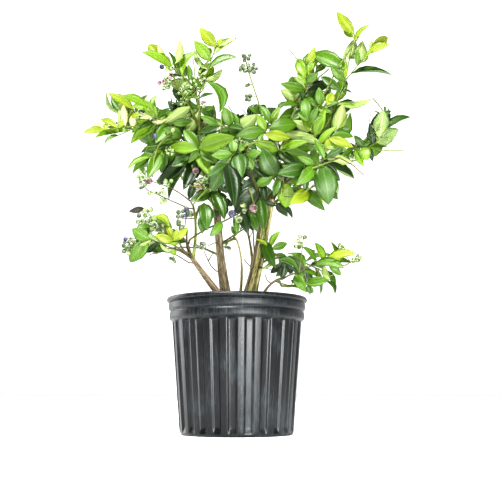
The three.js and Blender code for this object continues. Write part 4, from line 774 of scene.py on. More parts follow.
class Mass:
    """Twigs, leaves and berries of one foliage mass."""

    def __init__(self, index, plan, room):
        self.index, self.plan, self.room = index, plan, room
        self.chance = dice(plan["seed"])
        self.twigs, self.leaves, self.berries = [], [], []
        self.blades = np.empty((0, 6, 3))
        self.spray = 0

    def free(self, points, margin):
        return self.room.free(self.index, points, margin)

    def blade_triangles(self):
        return self.blades[:, BLADE_TRIANGLES].reshape(-1, 3, 3)

    def fits(self, points, length):
        """Whether a new blade keeps off the mass's other blades and its twigs."""
        if len(self.blades):
            centre = points[0] + (points[3] - points[0]) * 0.55
            centres = self.blades[:, 0] + (self.blades[:, 3] - self.blades[:, 0]) * 0.55
            if (np.linalg.norm(centres - centre, axis=1) <= length * LEAF_APART).any():
                return False
            edges = points[BLADE_EDGES]
            if pierced(edges[:, 0], edges[:, 1], self.blade_triangles()):
                return False
            edges = self.blades[:, BLADE_EDGES].reshape(-1, 2, 3)
            if pierced(edges[:, 0], edges[:, 1], points[BLADE_TRIANGLES]):
                return False
        lifted = (points + (points[3] - points[0]) * 0.08)[BLADE_TRIANGLES]
        starts = np.concatenate([twig["line"][:-1] for twig in self.twigs])
        ends = np.concatenate([twig["line"][1:] for twig in self.twigs])
        return not pierced(starts, ends, lifted)

    def add_leaf(self, root, axis, angle, splay, length, age):
        """Adds the largest of the sizes tried that finds room, or none."""
        lift = self.plan["lift"] + 0.3 * (self.chance() - 0.5)
        way = leaf_way(axis, angle, splay, lift)
        face = leaf_face(root, way, LEAF_ROLL * (self.chance() - 0.5))
        for share in LEAF_TRIES:
            points = leaf_points(root, way, face, length * share)
            samples = leaf_samples(points)
            if (self.free(samples, LIMB_MARGIN) and self.fits(points, length * share)
                    and screen.admits(samples, self.plan["name"] in OUTER)):
                self.blades = np.concatenate((self.blades, points[None]))
                self.leaves.append({"root": root, "way": way, "face": face,
                                    "length": length * share, "spray": self.spray, "age": age})
                return

    def leaves_along(self, line, start, length, phase, spacing=LEAF_SPACING):
        run = np.linalg.norm(line[-1] - line[0]) * (1 - start)
        count = max(1, int(run / spacing + 0.5))
        for k in range(count):
            share = start + (1 - start) * (k + 0.6) / (count + 0.2)
            big = length * (1.08 - 0.3 * share) * (0.9 + 0.2 * self.chance())
            self.add_leaf(along(line, share), heading(line, share), phase + TURN * k, LEAF_SPLAY, big, share)
        tip = heading(line, 1)
        self.add_leaf(along(line, 1) - tip * 0.7, tip, phase + 1, 0.22, length * 0.82, 1)
        self.add_leaf(along(line, 0.86), tip, phase + 1 + math.pi * 0.9, 0.7, length * 0.75, 0.9)

    def add_berries(self, line, count):
        for k in range(count):
            share = 0.98 - 0.22 * k
            out = leaf_way(heading(line, share), self.chance() * CIRCLE, 1.5, -0.5)
            radius = BERRY_RADIUS * (0.8 + 0.35 * self.chance())
            centre = along(line, share) + out * radius * 0.8
            if self.free(centre, radius + 1.5) and self.free(centre + out * radius, 1.5):
                self.berries.append({"centre": centre, "out": out, "radius": radius})

    def stem_radius(self, share):
        return STEM_THICK + (STEM_TIP - STEM_THICK) * share

    def add_shoot(self, line, radii, margin):
        checks = line[0] + (line[1] - line[0]) * np.array((0.4, 0.7, 1.0))[:, None]
        if pierced(line[:1], line[1:], self.blade_triangles()):
            return False
        if not self.free(checks, margin):
            return False
        self.twigs.append({"line": line, "radii": radii})
        return True

    def grow(self):
        """Stem, shoots, leaves and berries by the same rule as the solid."""
        plan, chance = self.plan, self.chance
        line = plan["line"]
        radii = [self.stem_radius(i / STEM_STEPS) for i in range(STEM_STEPS + 1)]
        self.twigs.append({"line": line, "radii": radii})
        self.leaves_along(line, max(plan["bare"], 0.12), plan["leaf"], chance() * CIRCLE)
        fruit = plan["fruit"]
        for k in range(plan["shoots"]):
            self.spray = k + 1
            share = plan["bare"] + (0.97 - plan["bare"]) * (k + 0.4) / plan["shoots"]
            root = along(line, share)
            angle = TURN * k + chance() * 0.5 + plan["seed"]
            way = leaf_way(heading(line, share), angle, SHOOT_SPLAY, 0.25)
            length = plan["shoot"] * (0.8 + 0.4 * chance())
            for part in SHOOT_TRIES:
                shoot = np.array((root, root + way * length * part))
                if self.add_shoot(shoot, [self.stem_radius(share) * SHOOT_SHARE, SHOOT_TIP], STEM_THICK + 1):
                    berries = min(fruit, 3)
                    if berries > 0 and k % 2 == 0:
                        self.add_berries(shoot, berries)
                        fruit -= berries
                    self.leaves_along(shoot, 0.3, plan["leaf"], chance() * CIRCLE)
                    break

    def grow_finer(self, count):
        """Thinner shoots with smaller leaves between the first ones, in the same space."""
        plan = self.plan
        self.chance = dice(plan["seed"] + FINER_SEED)
        chance = self.chance
        parents = list(self.twigs)
        for k in range(count):
            parent = parents[k % len(parents)]["line"]
            low = max(plan["bare"], 0.15) if k % len(parents) == 0 else 0.25
            share = low + (0.95 - low) * ((k * 0.618 + 0.3) % 1)
            root = along(parent, share)
            way = leaf_way(heading(parent, share), TURN * k * 1.7 + chance() * 2, 1.05, 0.2)
            length = plan["shoot"] * (0.5 + 0.5 * chance())
            self.spray = FINER_SPRAY + k
            for part in FINER_TRIES:
                shoot = np.array((root, root + way * length * part))
                if self.add_shoot(shoot, FINER_RADII, FINER_SHOOT_GAP):
                    self.leaves_along(shoot, 0.15, plan["leaf"] * (0.48 + 0.26 * chance()), chance() * CIRCLE,
                                      FINE_SPACING)
                    break

    def drop_bare_twigs(self):
        """A twig stays if it carries a leaf, a berry or another twig that stays."""
        ends = [leaf["root"] for leaf in self.leaves]
        ends += [berry["centre"] - berry["out"] * berry["radius"] * 0.8 for berry in self.berries]
        kept = []
        for twig in reversed(self.twigs):
            if ends and (gaps(np.array(ends), twig["line"][:-1], twig["line"][1:])[0] < CARRY_REACH).any():
                kept.append(twig)
                ends.append(twig["line"][0])
        self.twigs = kept[::-1] if self.plan["name"] != "fruit_spire" else []


def set_out_shoots(limbs):
    """Points of every shoot, and the place, direction and face of each of its leaves."""
    lines = {name: limb["line"] for name, limb in limbs.items()}
    shoots, leaves = [], []
    for name, carrier, share, thick, thin, points, rows in SHOOTS:
        line = np.array([along(lines[carrier], share), *points], float)
        lines[name] = line
        shoots.append((line, np.linspace(thick, thin, len(line))))
        for place, tip, seen, tone, *words in rows:
            root = along(line, place)
            run = np.array(tip, float) - root
            length = np.linalg.norm(run)
            way = run / length
            toward = unit(np.array(CAMERA_PLACE) - root - run / 2)
            face = away(toward, way)
            width = max(seen, LEAST_WIDTH)
            roll = math.acos(seen / width)
            side = cross(way, face)
            face = face * math.cos(roll) + side * math.sin(roll) * (1 if side[2] > 0 else -1)
            leaves.append({
                "root": root, "way": way, "face": -face if "under" in words else face, "length": length,
                "wide": width / LEAF_WIDTH, "tone": tone, "kinds": 3 if seen > BROAD_SEEN else 2,
                "bent": next((BENT_BLADES[word] for word in words if word in BENT_BLADES), None),
                "centre": root + run / 2, "toward": toward, "long": away(way, toward),
                "half": (length * math.sqrt(1 - (way @ toward) ** 2) / 2, length * seen / 2)})
    return lines, shoots, leaves


class Screen:
    """The set-out leaves as ovals seen from the front, for keeping other leaves behind them."""

    def __init__(self, leaves):
        self.centre, self.toward, self.long, self.half = (
            np.array([leaf[key] for leaf in leaves]) for key in ("centre", "toward", "long", "half"))
        self.short = np.cross(self.toward, self.long)

    def over(self, points, grown):
        """How far every point is in front of every leaf, or no number if it is beside it."""
        offset = points[:, None] - self.centre
        depth = (offset * self.toward).sum(2)
        along_it = (offset * self.long).sum(2) / (self.half[:, 0] + grown)
        across_it = (offset * self.short).sum(2) / (self.half[:, 1] + grown)
        return np.where(along_it ** 2 + across_it ** 2 < 1, depth, np.nan)

    def admits(self, points, outer):
        """Whether a leaf stays behind the set-out ones, and mostly hidden or over the crown."""
        if (self.over(points, 0) > -IN_FRONT).any():
            return False
        seen = np.isnan(self.over(points, HIDDEN_MARGIN)).all(1)
        if not outer:
            seen &= ~inside_outline(points)
        return seen.mean() < 1 - HIDDEN_SHARE


def inside_outline(points):
    """Whether points are in front of, in or behind the dense part of the crown."""
    eye = np.array(CAMERA_PLACE)
    seen = (eye + (points - eye) * (-eye[1] / (points[:, 1:2] - eye[1])))[:, (0, 2)]
    a = CROWN_OUTLINE
    b = np.roll(a, -1, axis=0)
    height = seen[:, None, 1]
    with np.errstate(divide="ignore", invalid="ignore"):
        cut = a[:, 0] + (height - a[:, 1]) * (b[:, 0] - a[:, 0]) / (b[:, 1] - a[:, 1])
    crossed = ((a[:, 1] > height) != (b[:, 1] > height)) & (seen[:, None, 0] < cut)
    return crossed.sum(1) % 2 == 1


coarse_limbs = grow_limbs(STEM_STEPS)
fine_limbs = grow_limbs(LIMB_STEPS)
lines, shoots, set_leaves = set_out_shoots(fine_limbs)
screen = Screen(set_leaves)
plans = []
for row in MASSES:
    plan = dict(zip(MASS_KEYS, row))
    start = along(coarse_limbs[plan["on"]]["line"], plan["share"])
    if plan["share"] == 1:
        start = start + unit(np.array(plan["by"]) - start) * GAP
    plan["line"] = curve(start, plan["by"], plan["to"], STEM_STEPS)
    plans.append(plan)

room = Room(plans, coarse_limbs)
masses = [Mass(index, plan, room) for index, plan in enumerate(plans)]
for mass in masses:
    mass.grow()
for mass in masses:
    mass.grow_finer(mass.plan["finer"])
for mass in masses:
    if mass.plan["name"] in OUTER:
        mass.berries = []
    mass.drop_bare_twigs()

# ---------------------------------------------------------------- making helpers


def srgb(code):
    """Linear colour from an sRGB hex value."""
    parts = [int(code[i:i + 2], 16) / 255 for i in (1, 3, 5)]
    return (*(c / 12.92 if c <= 0.04045 else ((c + 0.055) / 1.055) ** 2.4 for c in parts), 1.0)


def fill(node, inputs):
    """Sets a node's inputs to values, or links other nodes' outputs to them."""
    for key, value in inputs.items():
        if isinstance(value, bpy.types.NodeSocket):
            node.id_data.links.new(value, node.inputs[key])
        else:
            node.inputs[key].default_value = value


def add_node(tree, kind, inputs=None, output=0, **settings):
    """Adds a node with its settings and inputs; returns one of its outputs, or all of it."""
    new = tree.nodes.new(kind)
    for key, value in settings.items():
        setattr(new, key, value)
    fill(new, inputs or {})
    return new if output is None else new.outputs[output]


def start_material(name, **constants):
    """A material with its shader's constant sockets set, what adds its nodes, and its shader."""
    material = bpy.data.materials.new(name)
    material.use_nodes = True
    shader = material.node_tree.nodes["Principled BSDF"]
    fill(shader, {key.replace("_", " "): value for key, value in constants.items()})
    return material, partial(add_node, material.node_tree), shader


def mesh_object(name, vertices, faces, collection=None):
    """An object with a new mesh, put in the scene or in a collection."""
    mesh = bpy.data.meshes.new(name)
    mesh.from_pydata([tuple(v) for v in vertices], [], faces)
    mesh.validate()
    piece = bpy.data.objects.new(name, mesh)
    (collection or bpy.context.scene.collection).objects.link(piece)
    return piece


def start_tree(name, **inputs):
    """A Geometry Nodes tree with a geometry going in and out, what adds its nodes, and its inputs."""
    tree = bpy.data.node_groups.new(name, "GeometryNodeTree")
    tree.interface.new_socket("Geometry", in_out="INPUT", socket_type="NodeSocketGeometry")
    tree.interface.new_socket("Geometry", in_out="OUTPUT", socket_type="NodeSocketGeometry")
    for key, kind in inputs.items():
        tree.interface.new_socket(key, in_out="INPUT", socket_type="NodeSocket" + kind)
    node = partial(add_node, tree)
    return tree, node, node("NodeGroupInput", output=None).outputs


def grown_by(tree, source, name, **values):
    """The plain mesh that a tree makes of a source object, which is then removed."""
    modifier = source.modifiers.new("grow", "NODES")
    modifier.node_group = tree
    for item in tree.interface.items_tree:
        if item.in_out == "INPUT" and item.name in values:
            modifier[item.identifier] = values[item.name]
    graph = bpy.context.evaluated_depsgraph_get()
    mesh = bpy.data.meshes.new_from_object(source.evaluated_get(graph), depsgraph=graph)
    mesh.name = name
    piece = bpy.data.objects.new(name, mesh)
    bpy.context.scene.collection.objects.link(piece)
    bpy.data.objects.remove(source)
    return piece


def point_cloud(name, places, **attributes):
    """Loose points in metres that carry named values for a tree."""
    cloud = mesh_object(name, places, [])
    for key, (kind, values) in attributes.items():
        attribute = cloud.data.attributes.new(key, kind, "POINT")
        field = "vector" if kind == "FLOAT_VECTOR" else "value"
        attribute.data.foreach_set(field, np.asarray(values).ravel())
    return cloud


def curve_object(name, lines):
    """Straight-segment curves in metres with a radius at every point."""
    data = bpy.data.curves.new(name, "CURVE")
    data.dimensions = "3D"
    for line, radii in lines:
        spline = data.splines.new("POLY")
        spline.points.add(len(line) - 1)
        flat = np.ones((len(line), 4))
        flat[:, :3] = np.asarray(line) * MM
        spline.points.foreach_set("co", flat.ravel())
        spline.points.foreach_set("radius", np.asarray(radii, float) * MM)
    piece = bpy.data.objects.new(name, data)
    bpy.context.scene.collection.objects.link(piece)
    return piece


def ring_faces(rings, sides, first=0):
    """Quads between rings of points that follow each other from a first point."""
    starts = [first + ring * sides for ring in range(rings - 1)]
    return [(a + s, a + (s + 1) % sides, a + (s + 1) % sides + sides, a + s + sides)
            for a in starts for s in range(sides)]


def put(piece, slot, *nodes):
    """Every piece is part of the one body and takes the place of its solids."""
    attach(piece, "root")
    if nodes:
        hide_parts(*nodes)


# ---------------------------------------------------------------- materials


def leaf_finish(name, blade, vein, roughness):
    """Waxy leaf cuticle: soft gloss, a paler midrib and faint side veins pressed in."""
    material, node, shader = start_material(name, IOR=1.45, Specular_IOR_Level=0.75)
    place = node("ShaderNodeUVMap", uv_map="UVMap")
    part = node("ShaderNodeSeparateXYZ", {0: place}, output=None)
    # across: 0 on the midrib, 1 on the edge
    across = node("ShaderNodeMath", {0: part.outputs[1], 1: 0.5}, operation="SUBTRACT")
    across = node("ShaderNodeMath", {0: across}, operation="ABSOLUTE")
    rib = node("ShaderNodeMapRange", {"Value": across, "From Min": 0.015, "From Max": 0.045,
                                      "To Min": 0.9, "To Max": 0.0})
    # side veins leave the midrib every tenth of the blade and bend towards the tip
    run = node("ShaderNodeMath", {0: part.outputs[0], 1: 10.0}, operation="MULTIPLY")
    bend = node("ShaderNodeMath", {0: across, 1: -5.0, 2: run}, operation="MULTIPLY_ADD")
    wave = node("ShaderNodeMath", {0: bend, 1: 0.5}, operation="PINGPONG")
    side = node("ShaderNodeMapRange", {"Value": wave, "From Min": 0.02, "From Max": 0.16, "To Min": 0.36,
                                       "To Max": 0.0})
    lines = node("ShaderNodeMath", {0: rib, 1: side}, operation="MAXIMUM")
    object_place = node("ShaderNodeTexCoord", output="Object")
    mottle = node("ShaderNodeTexNoise", {"Vector": object_place, "Scale": 34.0, "Detail": 3.0})
    shade = node("ShaderNodeMapRange", {"Value": mottle, "From Min": 0.3, "From Max": 0.7, "To Min": 0.86,
                                        "To Max": 1.12})
    # painted shade: the margin is darkened, standing in for the shaded gaps between overlapping leaves
    margin = node("ShaderNodeMapRange", {"Value": across, "From Min": 0.36, "From Max": 0.5,
                                         "To Min": 1.0, "To Max": 0.62})
    shade = node("ShaderNodeMath", {0: shade, 1: margin}, operation="MULTIPLY")
    colour = node("ShaderNodeMix", {"Factor": lines, 6: srgb(blade), 7: srgb(vein)}, data_type="RGBA",
                  output=2)
    colour = node("ShaderNodeVectorMath", {0: colour, 3: shade}, operation="SCALE")
    gloss = node("ShaderNodeMapRange", {"Value": mottle, "From Min": 0.3, "From Max": 0.7,
                                        "To Min": roughness - 0.06, "To Max": roughness + 0.1})
    relief = node("ShaderNodeBump", {"Height": lines, "Strength": 0.4, "Distance": 0.0005}, invert=True)
    fill(shader, {"Base Color": colour, "Roughness": gloss, "Normal": relief})
    return material


def bark_finish(name, dark, mid, light, gloss, flake):
    """Shrub bark: fibres run along the cane and lift in thin strips that show darker wood."""
    material, node, shader = start_material(name, IOR=1.45, Specular_IOR_Level=0.3)
    place = node("ShaderNodeAttribute", attribute_name="grain", output="Vector")
    # "grain" is in metres; along the cane it is already drawn out about eight times
    fibre = node("ShaderNodeTexNoise", {"Vector": place, "Scale": 900.0, "Detail": 3.0, "Roughness": 0.6})
    patch = node("ShaderNodeTexNoise", {"Vector": place, "Scale": 170.0, "Detail": 2.0})
    both = node("ShaderNodeMix", {"Factor": 0.45, 2: fibre, 3: patch})
    ramp = node("ShaderNodeValToRGB", {0: both}, output=None)
    ramp.color_ramp.elements[0].position = 0.5 - flake
    ramp.color_ramp.elements[0].color = srgb(dark)
    ramp.color_ramp.elements[1].position = 0.62
    ramp.color_ramp.elements[1].color = srgb(light)
    ramp.color_ramp.elements.new(0.51).color = srgb(mid)
    rough = node("ShaderNodeMapRange", {"Value": patch, "From Min": 0.3, "From Max": 0.7,
                                        "To Min": gloss - 0.1, "To Max": gloss + 0.1})
    relief = node("ShaderNodeBump", {"Height": fibre, "Strength": 0.6, "Distance": 0.0006})
    fill(shader, {"Base Color": ramp.outputs[0], "Roughness": rough, "Normal": relief})
    return material


def berry_finish(name, skin, bloom, gloss):
    """Berry skin under a pale waxy bloom that is rubbed off in places."""
    material, node, shader = start_material(name, IOR=1.4, Specular_IOR_Level=0.4)
    place = node("ShaderNodeTexCoord", output="Object")
    patch = node("ShaderNodeTexNoise", {"Vector": place, "Scale": 160.0, "Detail": 3.0})
    cover = node("ShaderNodeMapRange", {"Value": patch, "From Min": 0.38, "From Max": 0.62})
    colour = node("ShaderNodeMix", {"Factor": cover, 6: srgb(skin), 7: srgb(bloom)}, data_type="RGBA",
                  output=2)
    rough = node("ShaderNodeMapRange", {"Value": cover, "To Min": gloss, "To Max": gloss + 0.22})
    fill(shader, {"Base Color": colour, "Roughness": rough})
    return material


def pot_finish():
    """Blow-moulded black polyethylene: satin, with fine upright scuffs and a mould seam."""
    material, node, shader = start_material("moulded_polyethylene_charcoal", IOR=1.5, Specular_IOR_Level=0.5)
    place = node("ShaderNodeTexCoord", output="Object")
    upright = node("ShaderNodeMapping", {"Vector": place, "Scale": (1.0, 1.0, 0.05)})
    streak = node("ShaderNodeTexNoise", {"Vector": upright, "Scale": 620.0, "Detail": 4.0,
                                         "Roughness": 0.65})
    broad = node("ShaderNodeTexNoise", {"Vector": place, "Scale": 14.0, "Detail": 3.0})
    speck = node("ShaderNodeTexNoise", {"Vector": place, "Scale": 700.0, "Detail": 2.0})
    worn = node("ShaderNodeMath", {0: streak, 1: broad}, operation="MULTIPLY")
    worn = node("ShaderNodeMapRange", {"Value": worn, "From Min": 0.24, "From Max": 0.42})
    # the rim above the flutes is duller and more scuffed
    high = node("ShaderNodeSeparateXYZ", {0: place}, output=2)
    rim = node("ShaderNodeMapRange", {"Value": high, "From Min": WALL_TOP_Z * MM,
                                      "From Max": (WALL_TOP_Z + 4) * MM})
    scuff = node("ShaderNodeMapRange", {"Value": streak, "From Min": 0.46, "From Max": 0.7})
    scuff = node("ShaderNodeMath", {0: scuff, 1: rim}, operation="MULTIPLY")
    worn = node("ShaderNodeMath", {0: worn, 1: scuff}, operation="MAXIMUM")
    # the seam of the mould runs straight up two sides and is rubbed pale in places
    turned = node("ShaderNodeMapping", {"Vector": place, "Rotation": (0.0, 0.0, SEAM_TURN)})
    seam = node("ShaderNodeSeparateXYZ", {0: turned})
    seam = node("ShaderNodeMath", {0: seam}, operation="ABSOLUTE")
    seam = node("ShaderNodeMapRange", {"Value": seam, "From Min": 0.0003, "From Max": 0.0011,
                                       "To Min": 1.0, "To Max": 0.0})
    patchy = node("ShaderNodeTexNoise", {"Vector": place, "Scale": 240.0, "Detail": 2.0})
    patchy = node("ShaderNodeMapRange", {"Value": patchy, "From Min": 0.46, "From Max": 0.64})
    rubbed = node("ShaderNodeMath", {0: seam, 1: patchy}, operation="MULTIPLY")
    colour = node("ShaderNodeMix", {"Factor": worn, 6: srgb("#121517"), 7: srgb("#3A4144")},
                  data_type="RGBA", output=2)
    colour = node("ShaderNodeMix", {"Factor": rubbed, 6: colour, 7: srgb("#4A4F50")}, data_type="RGBA",
                  output=2)
    rough = node("ShaderNodeMapRange", {"Value": worn, "To Min": 0.31, "To Max": 0.46})
    rough = node("ShaderNodeMath", {0: rim, 1: 0.07, 2: rough}, operation="MULTIPLY_ADD")
    height = node("ShaderNodeMath", {0: speck, 1: 0.5, 2: streak}, operation="MULTIPLY_ADD")
    height = node("ShaderNodeMath", {0: seam, 1: 0.35, 2: height}, operation="MULTIPLY_ADD")
    relief = node("ShaderNodeBump", {"Height": height, "Strength": 0.24, "Distance": 0.0006})
    fill(shader, {"Base Color": colour, "Roughness": rough, "Normal": relief})
    return material


def soil_finish(name, dark, light):
    """Moist peat and composted bark: matt crumbs from near black to red-brown."""
    material, node, shader = start_material(name, IOR=1.4, Specular_IOR_Level=0.25, Roughness=0.9)
    place = node("ShaderNodeTexCoord", output="Object")
    crumb = node("ShaderNodeTexNoise", {"Vector": place, "Scale": 380.0, "Detail": 5.0, "Roughness": 0.7})
    ramp = node("ShaderNodeValToRGB", {0: crumb}, output=None)
    ramp.color_ramp.elements[0].position = 0.36
    ramp.color_ramp.elements[0].color = srgb(dark)
    ramp.color_ramp.elements[1].position = 0.66
    ramp.color_ramp.elements[1].color = srgb(light)
    relief = node("ShaderNodeBump", {"Height": crumb, "Strength": 0.8, "Distance": 0.002})
    fill(shader, {"Base Color": ramp.outputs[0], "Normal": relief})
    return material


# Upper side and its veins, under side and its veins, gloss: from new leaves to old ones; the darker tones
# also serve as painted shade inside the crown and the paler ones as painted light on its lit outside.
LEAF_TONES = [
    ("young", "#839518", "#98A640", "#BAC188", "#DDE0B4", 0.44),
    ("fresh", "#6D9017", "#88A242", "#8FA45C", "#BFCC98", 0.42),
    ("mid", "#507512", "#6D8D38", "#8CA564", "#B3C490", 0.41),
    ("deep", "#375A0C", "#567530", "#627F48", "#88A16A", 0.4),
    ("dark", "#193005", "#3A5724", "#466136", "#6A8455", 0.4),
    ("wilted", "#2B2A20", "#4A463A", "#5A5648", "#6E6A5C", 0.6),
]
leaf_over = [leaf_finish(f"waxy_leaf_{n}_upper", c, v, g) for n, c, v, *_, g in LEAF_TONES]
leaf_under = [leaf_finish(f"leaf_{n}_underside", u, w, 0.62) for n, _, _, u, w, _ in LEAF_TONES]

bark_grey = bark_finish("shedding_cane_bark_grey_brown", "#3A3122", "#796E57", "#AEA48E", 0.75, 0.14)
bark_tan = bark_finish("cane_bark_tan", "#463D2E", "#7E725B", "#A69A82", 0.7, 0.11)
bark_olive = bark_finish("young_cane_bark_olive_yellow", "#444120", "#8C8855", "#D3CEA5", 0.5, 0.1)
bark_green = bark_finish("green_twig_bark", "#475026", "#6E7A38", "#98A55E", 0.5, 0.1)
bark_twig = bark_finish("old_twig_bark_brown", "#332A20", "#5E5240", "#8A7C66", 0.7, 0.12)
# the boughs' olive-brown bark is darkened past its own colour, as painted shade inside the crown
bough_bark_painted_shade = bark_finish("bough_bark_olive_brown_painted_shade", "#2A2514", "#4A4627", "#6C683F", 0.6, 0.1)

BERRY_TONES = {
    "green": berry_finish("unripe_berry_skin_green", "#7A9454", "#AFC094", 0.38),
    "dull": berry_finish("unripe_berry_skin_dull_green", "#46553A", "#8C9A78", 0.4),
    "pink": berry_finish("turning_berry_skin_pink", "#7A5A60", "#B7A09F", 0.38),
    "blue": berry_finish("ripe_berry_skin_blue", "#30344A", "#747997", 0.42),
}
berry_crown = start_material("dry_berry_crown", Base_Color=srgb("#57504A"), Roughness=0.8)[0]

# ---------------------------------------------------------------- leaves

BLADE_STATIONS = (0.0, 0.06, 0.2, 0.4, 0.62, 0.82, 0.93, 1.0)
BLADE_WIDTHS = (0.06, 0.18, 0.68, 1.0, 0.93, 0.56, 0.27, 0.0)
BLADE_COLUMNS = (-1.0, -0.55, 0.0, 0.55, 1.0)
BLADE_THICK = 0.012


def leaf_blade(name, arch, fold, twist, wave, bow, collection):
    """A closed pointed oval blade of unit length along +Y, its upper face towards +Z."""
    layers = []
    for drop in (0.0, -BLADE_THICK):
        layer = []
        for t, width in zip(BLADE_STATIONS, BLADE_WIDTHS):
            half = LEAF_WIDTH / 2 * width
            for u in BLADE_COLUMNS:
                rise = arch * 4 * t * (1 - t) + half * abs(u) * fold
                rise += wave * math.sin(9 * t + (2 if u > 0 else 0)) * abs(u) ** 2 * width
                rise += twist * u * half * t
                edge = 1 - 0.8 * abs(u) ** 3 if drop else 1
                layer.append((u * half + bow * 4 * t * (1 - t), t, rise + drop * edge))
        layers.append(layer)
    count = len(BLADE_COLUMNS)
    rows = len(BLADE_STATIONS)
    vertices = layers[0] + layers[1]
    low = count * rows
    faces, under = [], []
    for r in range(rows - 1):
        for c in range(count - 1):
            a = r * count + c
            faces.append((a, a + 1, a + count + 1, a + count))
            under.append(False)
            faces.append((low + a, low + a + count, low + a + count + 1, low + a + 1))
            under.append(True)
    for r in range(rows - 1):
        a, b = r * count, r * count + count - 1
        faces.append((a, a + count, low + a + count, low + a))
        faces.append((b, low + b, low + b + count, b + count))
        under += [True, True]
    faces.append(tuple(range(count - 1, -1, -1)) + tuple(range(low, low + count)))
    under.append(True)
    blade = mesh_object(name, vertices, faces, collection)
    mesh = blade.data
    mesh.attributes.new("second", "BOOLEAN", "FACE").data.foreach_set("value", under)
    places = mesh.uv_layers.new(name="UVMap")
    for loop in mesh.loops:
        v = loop.vertex_index % low
        places.data[loop.index].uv = (BLADE_STATIONS[v // count], 0.5 + BLADE_COLUMNS[v % count] / 2)
    mesh.shade_smooth()


def set_out_tree():
    """Sets one of a collection's pieces on every point, turned and sized by its values."""
    tree, node, given = start_tree("set_out", Pieces="Collection", First="Material", Second="Material")
    pieces = node("GeometryNodeCollectionInfo", {"Collection": given["Pieces"], "Separate Children": True,
                                                 "Reset Children": True})
    kind, turn, size, second = (
        node("GeometryNodeInputNamedAttribute", {"Name": name}, data_type=data_type) for name, data_type in
        (("kind", "INT"), ("turn", "FLOAT_VECTOR"), ("size", "FLOAT_VECTOR"), ("second", "BOOLEAN")))
    turn = node("FunctionNodeEulerToRotation", {"Euler": turn})
    copies = node("GeometryNodeInstanceOnPoints", {"Points": given["Geometry"], "Instance": pieces,
                                                   "Pick Instance": True, "Instance Index": kind,
                                                   "Rotation": turn, "Scale": size})
    solid = node("GeometryNodeRealizeInstances", {"Geometry": copies})
    solid = node("GeometryNodeSetMaterial", {"Geometry": solid, "Material": given["First"]})
    solid = node("GeometryNodeSetMaterial", {"Geometry": solid, "Selection": second,
                                             "Material": given["Second"]})
    node("NodeGroupOutput", {"Geometry": solid}, output=None)
    return tree


set_out = set_out_tree()
blades = bpy.data.collections.new("blades")
for name, arch, fold, twist, wave, bow in (
        ("a", 0.07, 0.4, 0.1, 0.006, 0.02), ("b", 0.13, 0.28, 0.3, 0.014, -0.03),
        ("c", 0.05, 0.6, -0.3, 0.01, -0.01), ("d", 0.17, 0.45, -0.2, 0.018, 0.03),
        ("e", 0.06, 0.4, 0.1, 0.01, -0.3), ("f", 0.06, 0.4, -0.1, 0.01, 0.3)):
    leaf_blade("blade_" + name, arch, fold, twist, wave, bow, blades)
mass_nodes = ["mass_" + plan["name"] for plan in plans]


def leaf_tone(mass, leaf, spray_luck):
    """Sprays near a mass's tip and high in the bush are younger and paler, the high ones partly as painted
    light; finer sprays inside a mass and grown leaves behind the set-out ones are dealt darker tones as
    painted shade.
    """
    tip = 0.5 if leaf["age"] > 0.8 else 0.0
    # finer sprays fill the inside of a mass: the darker tone they get is painted shade
    inner = 0.7 if leaf["spray"] >= FINER_SPRAY else 0.0
    tone = mass.plan["tone"] + spray_luck[leaf["spray"] % len(spray_luck)] - tip + inner + BEHIND_PAINTED_SHADE
    return int(min(max(round(tone), 0), 4))


def blade_turn(leaf):
    """Turns a blade's length along the leaf's way and its upper side to the leaf's face."""
    side = cross(leaf["way"], leaf["face"])
    axes = Matrix(np.array((side, leaf["way"], leaf["face"])).T.tolist())
    return axes.to_euler()


by_tone = [[] for _ in LEAF_TONES]
for mass in masses:
    chance = dice(mass.plan["seed"] + COLOUR_SEED)
    spray_luck = [1.5 * (chance() - 0.5) for _ in range(32)]
    for leaf in mass.leaves:
        leaf["kind"] = int(chance() * GROWN_BLADES)
        tone = leaf_tone(mass, leaf, spray_luck)
        leaf["wide"] = 0.72 + 0.07 * tone + 0.2 * chance()
        by_tone[tone].append(leaf)
chance = dice(SHAPE_SEED)
for leaf in set_leaves:
    leaf["kind"] = leaf["bent"] or SET_OUT_BLADES[int(chance() * leaf["kinds"])]
    by_tone[leaf["tone"]].append(leaf)

for (tone, *_), leaves, over, under in zip(LEAF_TONES, by_tone, leaf_over, leaf_under):
    if leaves:
        cloud = point_cloud(
            "points_" + tone, [leaf["root"] * MM for leaf in leaves],
            turn=("FLOAT_VECTOR", [blade_turn(leaf) for leaf in leaves]),
            size=("FLOAT_VECTOR", [[leaf["length"] * MM * share for share in (leaf["wide"], 1, 1)]
                                   for leaf in leaves]),
            kind=("INT", [leaf["kind"] for leaf in leaves]))
        piece = grown_by(set_out, cloud, "leaves_" + tone, Pieces=blades, First=over, Second=under)
        put(piece, "foliage", *mass_nodes)

# ---------------------------------------------------------------- canes, boughs and twigs


GRAIN_ROUND = 0.007  # radius in metres of the pattern round every cane
GRAIN_LONG = 0.12  # how far the pattern runs along a cane, as a share of its length


